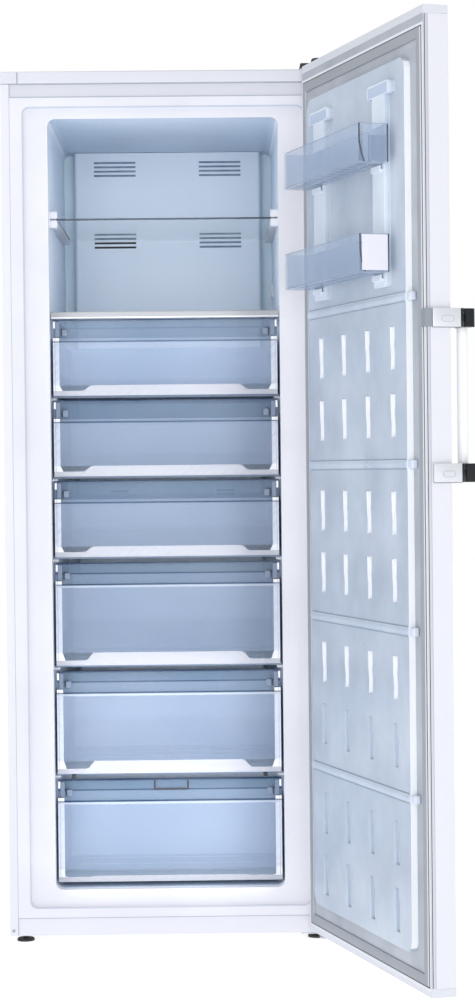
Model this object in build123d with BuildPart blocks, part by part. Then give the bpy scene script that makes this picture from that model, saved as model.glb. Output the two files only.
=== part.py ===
from build123d import *
import os
from math import cos, sin, radians

os.makedirs("parts", exist_ok=True)

# Upright freezer, millimetres.
# +Z up, the open front faces -Y, +X to the right of someone standing in front.
# The origin is on the floor, under the centre of the cabinet.
# The door stands open, as it is found; the drawers and shelves are pushed in.

# ---------------------------------------------------------------- cabinet sizes
cabinet_width = 700
cabinet_depth = 660
cabinet_height = 1890
ground_clearance = 15
steel_sheet = 1
liner_wall = 2
side_insulation = 100
top_insulation = 102
floor_insulation = 98.5
back_insulation = 60
opening_corner = 17

flange_width = 18.5
top_cover_height = 27
top_cover_wall = 2.5
corner_cap_width = 37
corner_cap_depth = 60
top_rail_height = 29
bottom_rail_height = 38
rail_depth = 16
rail_setback = 1.5
ring_margin_side = 28.5
ring_margin_end = 22.5
ring_recess = 8
ring_corner = 14

bay_height = 275
bay_depth = 210
bay_insulation = 54

# ---------------------------------------------------------------- inside sizes
glass = 4
ledge_width = 12
ledge_height = 6.5
ledge_cut = 2
ledge_back_gap = 52
shelf_setback = 45
shelf_back_gap = 20
shelf_side_gap = 1.5
fit_gap = 0.35
upper_shelf_height = 1576
support_width = 17
support_height = 37
support_length = 26
trim_height = 15
trim_depth = 14
trim_wall = 4

small_pitch = 176
large_pitch = 237
bottom_gap = 12.5
drawer_gap_small = 10
drawer_gap_large = 13
drawer_setback = 30
drawer_front_gap = 5
drawer_tub_gap = 11
drawer_back_gap = 29
bottom_drawer_gap = 18
drawer_wall = 2.5
tub_corner = 8
drawer_front_wall = 3
ledge_start_gap = 6
grip_band = 48
grip_step = 9
grip_lip = 5
frame_bar = 14
frame_sill = 10
frame_tongue = 21
frame_tongue_slope = 16
floor_rib = 1.5
floor_ribs_long = 3
floor_ribs_across = 3
runner_offset = 26
runner_width = 12

cover_depth = 48
cover_side_gap = 27
cover_wall = 2.5
vent_width = 100
vent_slot = 5
vent_pitch = 10.3
vent_offset = 126
vent_drop = 40
coil_side_gap = 38
coil_floor_gap = 60
coil_height = 300
coil_rows = 4
coil_stub = 16
coil_bend = 14
coil_bracket = 20
coil_bracket_pitch = 200
sensor_drop = 130
sensor_forward = 70
sensor_length = 32
sensor_width = 14

# ---------------------------------------------------------------- door sizes
door_open_angle = 106.5
door_thickness = 50
door_gap = 13
door_bottom_gap = 13
door_top_gap = 1
pivot_inset = 15
pivot_from_back = 30
end_cap_height = 16
gasket_width = 30
gasket_clearance = 0.3
gasket_bottom = 17
gasket_top = 44
plateau_rise = 13
plateau_side_gap = 20
plateau_low_gap = 24.5
plateau_high_gap = 8
plateau_corner = 26
ridge_rise = 4
ridge_width = 16
ridge_count = 4
highest_ridge = 540
lowest_ridge = 295
dimple_length = 85
dimple_width = 30
dimple_depth = 6
dimple_pitch = 138
dimple_row = 65
column_offset = 175
column_width = 62
column_rise = 13
column_head_width = 115
column_head_height = 26
column_top_gap = 36
column_length = 395

basket_width = 465
basket_depth = 60
basket_height = 74
basket_wall = 2.5
basket_corner = 18
basket_drops = (281, 491)
basket_tab = 8.5
holes_across = 11
holes_deep = 2
lattice_bar = 6
pocket_wall = 3

# ---------------------------------------------------------------- handle sizes
handle_height = 35
handle_spacing = 291
handle_centre = 1131
bracket_proud = 7
bracket_reach = 24
bracket_start = 19
bracket_width = 28
lever_gap = 2
lever_depth = 21
lever_arm = 52
bar_radius = 10
knuckle = 6
handle_pin = 2.5
running_fit = 0.05
pusher_height = 33
pusher_slot = 20
pusher_guide = 16
pusher_rest = 34
pusher_hook = 19
plug_length = 24
plug_width = 10

# ---------------------------------------------------------------- hinge sizes
hinge_plate = 3
hinge_pin = 5
pin_length = 14
bush_radius = 9
hinge_nose = 13
hinge_base_width = 48
hinge_base_length = 74
hinge_cover_height = 12
screw_head = 5
screw_head_height = 2.5
top_screws = (14, 37, 60)
bottom_screws = (52, 64)
bottom_screw_offset = 8

# ---------------------------------------------------------------- running gear
foot_pad = 19
foot_pad_sides = 16
foot_pad_height = 6
foot_stem = 5
foot_inset = 32
foot_boss = 11
foot_boss_height = 14
roller_radius = 12
roller_width = 16
roller_axle = 3
roller_inset = 50
roller_from_back = 42
roller_clearance = 6
bracket_half_width = 24
bracket_flange = 8
bracket_low = 5
bracket_high = 30
cheek = 2
cheek_gap = 1

fan_radius = 55
fan_hub = 17
fan_blades = 5
fan_height = 1165
fan_shaft = 2
compressor_radius = 80
mount_radius = 10
compressor_inset = 220
shell_sides = 24
shell_height = 159
shell_base_slope = 16
dome_slopes = (30, 9)
foot_plate = (144, 136)
saddle = (40, 90)
starter_reach = 24
starter_width = 56
starter_span = (40, 95)
mount_spacing_x = 116
mount_spacing_y = 108
condenser_inset = 90
condenser_width = 200
condenser_rows = 5
condenser_pitch = 34
condenser_lift = 58
dryer_length = 70
dryer_radius = 9
dryer_offset = 100
condenser_start = 20
line_reach = 50
line_back = 20
line_rise = 26
line_end = 20
coil_plate = 1.5
coil_plate_width = 44
coil_plate_inset = 26
mount_height = 16
tube_radius = 3
tube_sides = 6
tray_inset_x = 32
tray_inset_y = 20
tray_height = 32
tray_wall = 2
tray_corner = 10
slot_pitch_across = 150
slot_pitch_up = 26
slot_length = 110
slot_height = 9
slot_lift = 10

# ---------------------------------------------------------------- places worked out
half_width = cabinet_width / 2
front_y = -cabinet_depth / 2
back_y = cabinet_depth / 2
body_bottom = ground_clearance
shell_top = cabinet_height - top_cover_height
pan_top = body_bottom + 2 * steel_sheet
flange_inner = half_width - flange_width
liner_bottom = body_bottom + bottom_rail_height
liner_top = shell_top - top_rail_height
liner_middle = (liner_bottom + liner_top) / 2
ring_half = flange_inner - ring_margin_side
ring_bottom = liner_bottom + ring_margin_end
ring_top = liner_top - ring_margin_end
opening_half = half_width - side_insulation
opening_bottom = body_bottom + floor_insulation
opening_top = cabinet_height - top_insulation
opening_middle = (opening_bottom + opening_top) / 2
opening_height = opening_top - opening_bottom
liner_back = back_y - back_insulation
cover_face = liner_back - cover_depth
cover_half_width = opening_half - cover_side_gap
bay_front = back_y - bay_depth
bay_top = body_bottom + bay_height
hump_front = bay_front - bay_insulation
hump_top = bay_top + bay_insulation - liner_wall

large_height = large_pitch - drawer_gap_large
small_height = small_pitch - drawer_gap_small
lowest_drawer = opening_bottom + bottom_gap
drawer_floors = [lowest_drawer + step * large_pitch for step in range(4)]
drawer_floors += [drawer_floors[3] + step * small_pitch for step in (1, 2)]
drawer_heights = [large_height] * 3 + [small_height] * 3
trim_bottom = drawer_floors[5] + small_pitch - drawer_gap_small + 2
fixed_shelf_top = trim_bottom + trim_height - trim_wall
drawer_face = front_y + drawer_setback
shelf_half = opening_half - shelf_side_gap
shelf_front = front_y + shelf_setback
shelf_back = cover_face - shelf_back_gap
drawer_front_width = 2 * (opening_half - drawer_front_gap)
drawer_tub_width = 2 * (opening_half - drawer_tub_gap)
plate_front = drawer_face + drawer_front_wall + grip_step + ledge_start_gap
ledge_back = liner_back - ledge_back_gap

pivot_x = half_width - pivot_inset
pivot_y = front_y - door_gap - pivot_from_back
door_hinge_edge = pivot_inset
door_free_edge = pivot_inset - cabinet_width
door_centre = (door_hinge_edge + door_free_edge) / 2
door_back = pivot_from_back
door_face = pivot_from_back - door_thickness
door_bottom = body_bottom + door_bottom_gap
door_top = cabinet_height - door_top_gap
plateau_half = ring_half - plateau_side_gap
plateau_low = ring_bottom + plateau_low_gap
plateau_high = ring_top - plateau_high_gap
plateau_middle = (plateau_low + plateau_high) / 2
plateau_face = door_back + plateau_rise
column_face = plateau_face + column_rise
ridge_pitch = (door_top - highest_ridge - plateau_low - lowest_ridge) / (ridge_count - 1)
ridge_heights = [door_top - highest_ridge - n * ridge_pitch for n in range(ridge_count)]
column_high = plateau_high - column_top_gap
column_low = column_high - column_length
basket_floors = [door_top - drop for drop in basket_drops]
handle_middle = handle_centre + door_bottom
handle_levels = (handle_middle + handle_spacing / 2, handle_middle - handle_spacing / 2)


# ---------------------------------------------------------------- frames and helpers
turn = radians(door_open_angle)
door_frame = Plane(origin=(pivot_x, pivot_y, 0), x_dir=(cos(turn), sin(turn), 0), z_dir=(0, 0, 1))


def front_view(y):
    """The upright plane at depth y, seen from the front: x to the right, z up."""
    return Plane.XZ.offset(-y)


def side_view(x):
    """The upright plane at x, seen from the right: y to the right, z up."""
    return Plane.YZ.offset(x)


def door_view(y):
    """The upright plane at depth y in the door's own frame, seen from its outer face."""
    origin = door_frame.from_local_coords(Vector(0, y, 0))
    return Plane(origin=origin, x_dir=door_frame.x_dir, z_dir=-door_frame.y_dir)


def door_level(z):
    """The level plane at height z in the door's own frame."""
    return door_frame.offset(z)


def block(x_limits, y_limits, z_limits, mode=Mode.ADD):
    """A rectangular block between three pairs of limits, in the frame of the piece being built."""
    limits = (x_limits, y_limits, z_limits)
    centre = [(low + high) / 2 for low, high in limits]
    size = [abs(high - low) for low, high in limits]
    with Locations(tuple(centre)):
        Box(*size, mode=mode)


def upright_cylinder(radius, x, y, z_limits, mode=Mode.ADD):
    """A cylinder on a vertical axis between two heights."""
    with Locations((x, y, (z_limits[0] + z_limits[1]) / 2)):
        Cylinder(radius, abs(z_limits[1] - z_limits[0]), mode=mode)


# ================================================================ cabinet casing
with BuildPart() as cabinet_shell:
    with BuildSketch(front_view(back_y)):
        with Locations((0, (shell_top + body_bottom) / 2)):
            Rectangle(cabinet_width, shell_top - body_bottom)
        with Locations((0, (shell_top - steel_sheet + body_bottom) / 2)):
            Rectangle(
                cabinet_width - 2 * steel_sheet,
                shell_top - steel_sheet - body_bottom,
                mode=Mode.SUBTRACT,
            )
    extrude(amount=cabinet_depth)
    with BuildSketch(front_view(front_y + steel_sheet)):
        with Locations((half_width - flange_width / 2, (shell_top + body_bottom) / 2)):
            Rectangle(flange_width, shell_top - body_bottom)
        with Locations((flange_width / 2 - half_width, (shell_top + body_bottom) / 2)):
            Rectangle(flange_width, shell_top - body_bottom)
    extrude(amount=steel_sheet)
    outer_corners = cabinet_shell.edges().filter_by(Axis.Y).group_by(Axis.Z)[-1]
    fillet(outer_corners, radius=steel_sheet / 2)
cabinet_shell.part.label = "cabinet_shell"
export_step(cabinet_shell.part, "parts/cabinet_shell.step")

with BuildPart() as top_cover:
    block((-half_width, half_width), (front_y, back_y), (shell_top, cabinet_height))
    top_edges = top_cover.edges().group_by(Axis.Z)[-1]
    fillet(top_edges, radius=2)
    inner_half = half_width - top_cover_wall
    block(
        (-inner_half, inner_half),
        (front_y + top_cover_wall, back_y - top_cover_wall),
        (shell_top, cabinet_height - top_cover_wall),
        mode=Mode.SUBTRACT,
    )
    cap_edge = corner_cap_width - half_width
    block(
        (-half_width, cap_edge),
        (front_y, front_y + corner_cap_depth),
        (shell_top, cabinet_height),
        mode=Mode.SUBTRACT,
    )
    hinge_boss = (pivot_x - hinge_base_width, pivot_x + 8)
    block(
        hinge_boss,
        (front_y + top_cover_wall, front_y + hinge_base_length + 10),
        (shell_top, cabinet_height - top_cover_wall),
    )
top_cover.part.label = "top_cover"
export_step(top_cover.part, "parts/top_cover.step")

with BuildPart() as top_corner_cap:
    block(
        (-half_width, cap_edge - 0.5),
        (front_y, front_y + corner_cap_depth - 0.5),
        (shell_top, cabinet_height),
    )
    fillet(top_corner_cap.edges().group_by(Axis.Z)[-1], radius=2)
    block(
        (top_cover_wall - half_width, cap_edge - 0.5 - top_cover_wall),
        (front_y + top_cover_wall, front_y + corner_cap_depth - 0.5 - top_cover_wall),
        (shell_top, cabinet_height - top_cover_wall),
        mode=Mode.SUBTRACT,
    )
top_corner_cap.part.label = "top_corner_cap"
export_step(top_corner_cap.part, "parts/top_corner_cap.step")


def folded_rail(z_low, z_high):
    """A steel channel across the front, open to the back."""
    with BuildPart() as rail:
        block((-flange_inner, flange_inner), (front_y + rail_setback, front_y + rail_depth), (z_low, z_high))
        block(
            (-flange_inner, flange_inner),
            (front_y + rail_setback + steel_sheet, front_y + rail_depth),
            (z_low + steel_sheet, z_high - steel_sheet),
            mode=Mode.SUBTRACT,
        )
    return rail


front_top_rail = folded_rail(liner_top, shell_top - steel_sheet)
front_top_rail.part.label = "front_top_rail"
export_step(front_top_rail.part, "parts/front_top_rail.step")

front_bottom_rail = folded_rail(body_bottom, liner_bottom)
front_bottom_rail.part.label = "front_bottom_rail"
export_step(front_bottom_rail.part, "parts/front_bottom_rail.step")

with BuildPart() as back_panel:
    inner = half_width - steel_sheet
    with BuildSketch(side_view(-inner)):
        with BuildLine():
            Polyline(
                (back_y, shell_top - steel_sheet),
                (back_y, bay_top),
                (bay_front, bay_top),
                (bay_front, pan_top),
                (bay_front - steel_sheet, pan_top),
                (bay_front - steel_sheet, bay_top + steel_sheet),
                (back_y - steel_sheet, bay_top + steel_sheet),
                (back_y - steel_sheet, shell_top - steel_sheet),
                close=True,
            )
        make_face()
    extrude(amount=2 * inner)
    # four pressed stiffening beads stand out of the flat back
    with BuildSketch(front_view(back_y)) as beads:
        with Locations((0, (bay_top + shell_top) / 2)):
            with GridLocations(2 * inner / 4, 1, 4, 1):
                Rectangle(40, (shell_top - bay_top) * 0.86)
        chamfer(beads.vertices(), length=10)
    extrude(amount=-1.5)
back_panel.part.label = "back_panel"
export_step(back_panel.part, "parts/back_panel.step")

foot_x = half_width - foot_inset
foot_y = front_y + foot_inset
roller_x = half_width - roller_inset
roller_y = back_y - roller_from_back
pocket_half = roller_width / 2 + cheek_gap + cheek
pocket_reach = roller_radius + roller_clearance

with BuildPart() as base_pan:
    inner = half_width - steel_sheet
    block((-inner, inner), (front_y + rail_depth, back_y - steel_sheet), (body_bottom, pan_top))
    for side in (-1, 1):
        upright_cylinder(foot_boss, side * foot_x, foot_y, (body_bottom, pan_top + foot_boss_height))
        upright_cylinder(
            foot_stem + running_fit,
            side * foot_x,
            foot_y,
            (body_bottom, pan_top + foot_boss_height),
            Mode.SUBTRACT,
        )
        block(
            (side * roller_x - pocket_half, side * roller_x + pocket_half),
            (roller_y - pocket_reach, roller_y + pocket_reach),
            (body_bottom, pan_top),
            mode=Mode.SUBTRACT,
        )
base_pan.part.label = "base_pan"
export_step(base_pan.part, "parts/base_pan.step")


# ================================================================ liner and insulation
def liner_body(grow, front):
    """The space inside the liner, grown all round by a wall and starting at a given depth."""
    with BuildPart() as body:
        with BuildSketch(front_view(front)):
            with Locations((0, opening_middle)):
                RectangleRounded(2 * (opening_half + grow), opening_height + 2 * grow, opening_corner + grow)
        extrude(amount=front - liner_back - grow)
        block(
            (-cabinet_width, cabinet_width),
            (hump_front + grow, back_y),
            (0, hump_top - grow),
            mode=Mode.SUBTRACT,
        )
    return body.part


def ring_body(grow, depth):
    """The shallow step round the opening that takes the raised middle of the door."""
    with BuildPart() as body:
        with BuildSketch(front_view(front_y)):
            with Locations((0, (ring_bottom + ring_top) / 2)):
                RectangleRounded(
                    2 * (ring_half + grow),
                    ring_top - ring_bottom + 2 * grow,
                    ring_corner + grow,
                )
        extrude(amount=-depth)
    return body.part


glass_tops = [floor - 0.7 for floor in drawer_floors[1:]]
ledge_tops = [top - glass for top in glass_tops] + [fixed_shelf_top - glass]

with BuildPart() as inner_liner:
    with BuildSketch(front_view(front_y)):
        with Locations((0, liner_middle)):
            Rectangle(2 * flange_inner, liner_top - liner_bottom)
    extrude(amount=-liner_wall)
    add(ring_body(liner_wall, ring_recess + liner_wall))
    add(liner_body(liner_wall, front_y))
    add(ring_body(0, ring_recess), mode=Mode.SUBTRACT)
    add(liner_body(0, front_y), mode=Mode.SUBTRACT)
inner_liner.part.label = "inner_liner"
export_step(inner_liner.part, "parts/inner_liner.step")

# a ledge with cut corners on each side wall carries each glass plate
with BuildPart() as plate_ledges:
    for top in ledge_tops:
        middle = ((plate_front + ledge_back) / 2, top - ledge_height / 2)
        for side in (-1, 1):
            with BuildSketch(side_view(side * opening_half)) as ledge:
                with Locations(middle):
                    Rectangle(ledge_back - plate_front, ledge_height)
                chamfer(ledge.vertices(), length=ledge_cut)
            extrude(amount=-side * ledge_width)
plate_ledges.part.label = "plate_ledges"
export_step(plate_ledges.part, "parts/plate_ledges.step")

with BuildPart() as insulation:
    inner = half_width - steel_sheet
    block((-inner, inner), (front_y + liner_wall, back_y - steel_sheet), (pan_top, shell_top - steel_sheet))
    for z_limits in ((0, liner_bottom), (liner_top, cabinet_height)):
        block((-half_width, half_width), (front_y, front_y + rail_depth), z_limits, mode=Mode.SUBTRACT)
    block(
        (-half_width, half_width),
        (bay_front - steel_sheet, back_y),
        (0, bay_top + steel_sheet),
        mode=Mode.SUBTRACT,
    )
    for side in (-1, 1):
        upright_cylinder(foot_boss, side * foot_x, foot_y, (0, pan_top + foot_boss_height), Mode.SUBTRACT)
        upright_cylinder(foot_stem + 2, side * foot_x, foot_y, (0, liner_bottom), Mode.SUBTRACT)
    add(ring_body(liner_wall, ring_recess + liner_wall), mode=Mode.SUBTRACT)
    add(liner_body(liner_wall, front_y), mode=Mode.SUBTRACT)
insulation.part.label = "insulation"
export_step(insulation.part, "parts/insulation.step")

# ================================================================ cold air system
cover_low = hump_top + 4
cover_high = opening_top - 1
upper_vents = opening_top - vent_drop
lower_vents = upper_shelf_height
return_vents = drawer_floors[3] + small_height - 28

with BuildPart() as evaporator_cover:
    block((-cover_half_width, cover_half_width), (cover_face, liner_back), (cover_low, cover_high))
    fillet(evaporator_cover.edges().filter_by(Axis.Z).group_by(Axis.Y)[0], radius=8)
    block(
        (cover_wall - cover_half_width, cover_half_width - cover_wall),
        (cover_face + cover_wall, liner_back),
        (cover_low + cover_wall, cover_high - cover_wall),
        mode=Mode.SUBTRACT,
    )
    # outlets: four groups of four level slots
    with BuildSketch(front_view(cover_face)):
        for level in (upper_vents, lower_vents):
            with Locations((0, level)):
                with GridLocations(2 * vent_offset, vent_pitch, 2, 4):
                    Rectangle(vent_width, vent_slot)
    extrude(amount=-cover_wall, mode=Mode.SUBTRACT)
    # returns: one slot on the left and three on the right, behind the third drawer
    with BuildSketch(front_view(cover_face)):
        with Locations((-vent_offset + 4, return_vents)):
            Rectangle(vent_width * 0.43, vent_slot)
        with Locations((vent_offset + 6, return_vents - vent_pitch)):
            with GridLocations(1, vent_pitch, 1, 3):
                Rectangle(vent_width * 0.43, vent_slot)
    extrude(amount=-cover_wall, mode=Mode.SUBTRACT)
evaporator_cover.part.label = "evaporator_cover"
export_step(evaporator_cover.part, "parts/evaporator_cover.step")

coil_half = cover_half_width - coil_side_gap
coil_low = hump_top + coil_floor_gap
coil_high = coil_low + coil_height
coil_back = liner_back - 2
coil_front = cover_face + cover_wall + 6

with BuildPart() as evaporator:
    block((-coil_half, coil_half), (coil_front + 4, coil_back - 4), (coil_low, coil_high))
    # fins stand out at the front of the block
    with BuildSketch(front_view(coil_front + 4)):
        with Locations((0, (coil_low + coil_high) / 2)):
            with GridLocations(2 * coil_half / 15, 1, 15, 1):
                Rectangle(3, coil_high - coil_low)
    extrude(amount=4)
    # brackets reach the liner behind the coil
    with BuildSketch(front_view(coil_back - 4)):
        with Locations((0, (coil_low + coil_high) / 2)):
            with GridLocations(2 * coil_half - coil_bracket, coil_bracket_pitch, 2, 2):
                Rectangle(coil_bracket, coil_bracket)
    extrude(amount=coil_back - 4 - liner_back)
    # the tube runs on past both ends in short stubs, joined in pairs
    for side in (-1, 1):
        for row in range(coil_rows):
            level = coil_low + coil_height * (row + 0.5) / coil_rows
            end = (side * coil_half, side * (coil_half + coil_stub))
            tube_y = (coil_front + coil_back) / 2
            tube_depth = (tube_y - tube_radius, tube_y + tube_radius)
            for tube_level in (level - coil_bend, level + coil_bend):
                block(end, tube_depth, (tube_level - tube_radius, tube_level + tube_radius))
            bend = (end[1] - side * 2 * tube_radius, end[1])
            block(bend, tube_depth, (level - coil_bend, level + coil_bend))
evaporator.part.label = "evaporator"
export_step(evaporator.part, "parts/evaporator.step")

fan_back = liner_back - 22

with BuildPart() as fan_motor:
    with BuildSketch(front_view(liner_back)):
        with Locations((0, fan_height)):
            RegularPolygon(fan_hub + 4, 12)
            Rectangle(2 * fan_radius, 12)
    extrude(amount=6)
    with BuildSketch(front_view(liner_back)):
        with Locations((0, fan_height)):
            RegularPolygon(fan_hub, 12)
    extrude(amount=20)
    with BuildSketch(front_view(liner_back)):
        with Locations((0, fan_height)):
            Circle(fan_shaft)
    extrude(amount=38)
fan_motor.part.label = "fan_motor"
export_step(fan_motor.part, "parts/fan_motor.step")

with BuildPart() as fan_wheel:
    with BuildSketch(front_view(fan_back)):
        with Locations((0, fan_height)):
            RegularPolygon(fan_hub - 3, 15)
    extrude(amount=14)
    # pitched blades round the hub
    blade_centre = (fan_radius - 3 + fan_hub - 6) / 2
    blade_length = fan_radius - 3 - fan_hub + 6
    for blade in range(fan_blades):
        angle = 360 * blade / fan_blades
        place = Location((0, fan_back - 7, fan_height)) * Rotation(0, angle, 0)
        place = place * Location((blade_centre, 0, 0))
        with Locations(place * Rotation(35, 0, 0)):
            Box(blade_length, 1.5, 20)
    with BuildSketch(front_view(fan_back)):
        with Locations((0, fan_height)):
            Circle(fan_shaft + running_fit)
    extrude(amount=14, mode=Mode.SUBTRACT)
fan_wheel.part.label = "fan_wheel"
export_step(fan_wheel.part, "parts/fan_wheel.step")

with BuildPart() as temperature_sensor:
    with BuildSketch(side_view(opening_half)) as sensor_outline:
        with Locations((cover_face - sensor_forward, upper_shelf_height - sensor_drop)):
            Rectangle(sensor_width, sensor_length)
        chamfer(sensor_outline.vertices(), length=sensor_width * 0.3)
    extrude(amount=-6)
    chamfer(temperature_sensor.faces().sort_by(Axis.X)[0].edges(), length=1.5)
temperature_sensor.part.label = "temperature_sensor"
export_step(temperature_sensor.part, "parts/temperature_sensor.step")

# ================================================================ machine compartment
compressor_x = half_width - compressor_inset
compressor_y = back_y - bay_depth / 2
deck_top = pan_top + mount_height

machine_frame = Plane(origin=(compressor_x, compressor_y, 0))
dome_low = deck_top + 6
dome_high = dome_low + shell_height

with BuildPart(machine_frame) as compressor:
    # a flat-sided shell that draws in towards its top and its bottom
    with BuildSketch(machine_frame.offset(dome_low)):
        RegularPolygon(compressor_radius, shell_sides)
    extrude(amount=shell_height)
    chamfer(compressor.edges().group_by(Axis.Z)[0], length=shell_base_slope)
    for slope in dome_slopes:
        chamfer(compressor.edges().group_by(Axis.Z)[-1], length=slope)
    # a flat foot plate carries the shell on its rubber mounts
    with Locations((0, 0, deck_top + 1.5)):
        Box(*foot_plate, 3)
    with Locations((0, 0, (deck_top + dome_low + 4) / 2)):
        Box(*saddle, dome_low + 4 - deck_top)
    # the starter box sits on the left side of the shell
    block(
        (-compressor_radius - starter_reach, -compressor_radius + 8),
        (-starter_width / 2, starter_width / 2),
        (dome_low + starter_span[0], dome_low + starter_span[1]),
    )
compressor.part.label = "compressor"
export_step(compressor.part, "parts/compressor.step")

with BuildPart(machine_frame) as compressor_mounts:
    with BuildSketch(machine_frame.offset(pan_top)):
        with GridLocations(mount_spacing_x, mount_spacing_y, 2, 2):
            RegularPolygon(mount_radius, 8)
    extrude(amount=mount_height)
compressor_mounts.part.label = "compressor_mounts"
export_step(compressor_mounts.part, "parts/compressor_mounts.step")

condenser_left = condenser_inset - half_width
condenser_right = condenser_left + condenser_width
condenser_low = pan_top + condenser_lift

corners = [(condenser_left - condenser_start, compressor_y, condenser_low)]
for row in range(condenser_rows):
    ends = (condenser_left, condenser_right)
    if row % 2:
        ends = (condenser_right, condenser_left)
    level = condenser_low + row * condenser_pitch
    corners += [(end, compressor_y, level) for end in ends]
corners = corners[:1] + corners[2:-1] + [(condenser_right + condenser_start, compressor_y, level)]

# the line back to the compressor, with a fatter copper can for the filter dryer
with BuildPart() as dryer_line:
    pipe_end = corners[-1]
    line_x = condenser_right + line_reach
    line_y = compressor_y + line_back
    line_z = level + line_rise
    with BuildLine():
        Polyline(
            pipe_end,
            (line_x, compressor_y, level),
            (line_x, line_y, line_z),
            (compressor_x - line_end, line_y, line_z),
            (compressor_x - line_end, line_y, dome_high),
        )
    with BuildSketch(Plane(origin=pipe_end, z_dir=(1, 0, 0))):
        RegularPolygon(tube_radius, tube_sides)
    sweep(transition=Transition.RIGHT)
    with BuildSketch(side_view(condenser_right + dryer_offset - dryer_length / 2)):
        with Locations((line_y, line_z)):
            RegularPolygon(dryer_radius, 12)
    extrude(amount=dryer_length)

with BuildPart() as condenser:
    with BuildLine():
        Polyline(*corners)
    with BuildSketch(Plane(origin=corners[0], z_dir=(1, 0, 0))):
        RegularPolygon(tube_radius, tube_sides)
    sweep(transition=Transition.RIGHT)
    add(dryer_line.part)
    # two plates stand on the pan and hold the runs
    plate_depth = (compressor_y - coil_plate_width / 2, compressor_y + coil_plate_width / 2)
    plate_high = condenser_low + (condenser_rows - 0.5) * condenser_pitch
    for plate_x in (condenser_left + coil_plate_inset, condenser_right - coil_plate_inset):
        block((plate_x - coil_plate, plate_x), plate_depth, (pan_top, plate_high))
condenser.part.label = "condenser"
export_step(condenser.part, "parts/condenser.step")

with BuildPart() as drip_tray:
    tray_middle = ((condenser_left + condenser_right) / 2, (bay_front + back_y) / 2)
    tray_size = (condenser_width - 2 * tray_inset_x, bay_depth - 2 * tray_inset_y)
    with BuildSketch(Plane.XY.offset(pan_top)) as tray_outline:
        with Locations(tray_middle):
            Rectangle(*tray_size)
        chamfer(tray_outline.vertices(), length=tray_corner)
    extrude(amount=tray_height)
    with BuildSketch(Plane.XY.offset(pan_top + tray_wall)) as tray_hollow:
        with Locations(tray_middle):
            Rectangle(tray_size[0] - 2 * tray_wall, tray_size[1] - 2 * tray_wall)
        chamfer(tray_hollow.vertices(), length=tray_corner - tray_wall)
    extrude(amount=tray_height, mode=Mode.SUBTRACT)
drip_tray.part.label = "drip_tray"
export_step(drip_tray.part, "parts/drip_tray.step")

with BuildPart() as compressor_cover:
    inner = half_width - steel_sheet
    block((-inner, inner), (back_y - 1.5, back_y), (pan_top, bay_top))
    with BuildSketch(front_view(back_y)):
        with Locations((0, (pan_top + bay_top) / 2 + slot_lift)):
            with GridLocations(slot_pitch_across, slot_pitch_up, 4, 7):
                Rectangle(slot_length, slot_height)
    extrude(amount=1.5, mode=Mode.SUBTRACT)
compressor_cover.part.label = "compressor_cover"
export_step(compressor_cover.part, "parts/compressor_cover.step")

with BuildPart() as control_board:
    block((-70, 70), (back_y - 140, back_y - 50), (shell_top + 5, shell_top + 6.6))
    for x in (-64, 64):
        for y in (back_y - 134, back_y - 56):
            block((x - 3, x + 3), (y - 3, y + 3), (shell_top, shell_top + 5))
    block((-50, -20), (back_y - 110, back_y - 80), (shell_top + 6.6, shell_top + 19))
    block((10, 26), (back_y - 120, back_y - 70), (shell_top + 6.6, shell_top + 14))
    block((42, 54), (back_y - 86, back_y - 74), (shell_top + 6.6, shell_top + 20))
control_board.part.label = "control_board"
export_step(control_board.part, "parts/control_board.step")

# ================================================================ feet and rollers
for side, name in ((-1, "left"), (1, "right")):
    with BuildPart() as front_foot:
        with BuildSketch():
            with Locations((side * foot_x, foot_y)):
                RegularPolygon(foot_pad, foot_pad_sides)
        extrude(amount=foot_pad_height)
        chamfer(front_foot.edges().group_by(Axis.Z)[-1], length=2)
        stem = (foot_pad_height, pan_top + foot_boss_height + 5)
        upright_cylinder(foot_stem, side * foot_x, foot_y, stem)
    front_foot.part.label = f"front_foot_{name}"
    export_step(front_foot.part, f"parts/front_foot_{name}.step")

    with BuildPart() as rear_roller:
        with Locations((side * roller_x, roller_y, roller_radius)):
            Cylinder(roller_radius, roller_width, rotation=(0, 90, 0))
            Cylinder(roller_axle + running_fit, roller_width, rotation=(0, 90, 0), mode=Mode.SUBTRACT)
    rear_roller.part.label = f"rear_roller_{name}"
    export_step(rear_roller.part, f"parts/rear_roller_{name}.step")

with BuildPart() as roller_brackets:
    for side in (-1, 1):
        x = side * roller_x
        reach = pocket_reach - 1
        flange = reach + bracket_flange
        block((x - pocket_half, x + pocket_half), (roller_y - reach, roller_y + reach), (bracket_low, bracket_high))
        block(
            (x - bracket_half_width, x + bracket_half_width),
            (roller_y - flange, roller_y + flange),
            (pan_top, pan_top + cheek),
        )
        gap = pocket_half - cheek
        block(
            (x - gap, x + gap),
            (roller_y - reach, roller_y + reach),
            (bracket_low, bracket_high - cheek),
            mode=Mode.SUBTRACT,
        )
        with Locations((x, roller_y, roller_radius)):
            Cylinder(roller_axle, 2 * pocket_half, rotation=(0, 90, 0))
roller_brackets.part.label = "roller_brackets"
export_step(roller_brackets.part, "parts/roller_brackets.step")


# ================================================================ hinges
def hinge_outline(base_front, base_back, left, right):
    """The level outline of a hinge plate: a straight base and a round nose about the pivot."""
    with BuildSketch() as outline:
        with Locations(((left + right) / 2, (base_front + base_back) / 2)):
            Rectangle(right - left, base_back - base_front)
        with Locations((pivot_x, (pivot_y + base_front) / 2)):
            Rectangle(2 * hinge_nose, base_front - pivot_y)
        with Locations((pivot_x, pivot_y)):
            Circle(hinge_nose)
    return outline.sketch


hinge_left = pivot_x + hinge_nose - hinge_base_width
hinge_right = pivot_x + hinge_nose
hinge_front = front_y + 8
hinge_back = hinge_front + hinge_base_length

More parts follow.
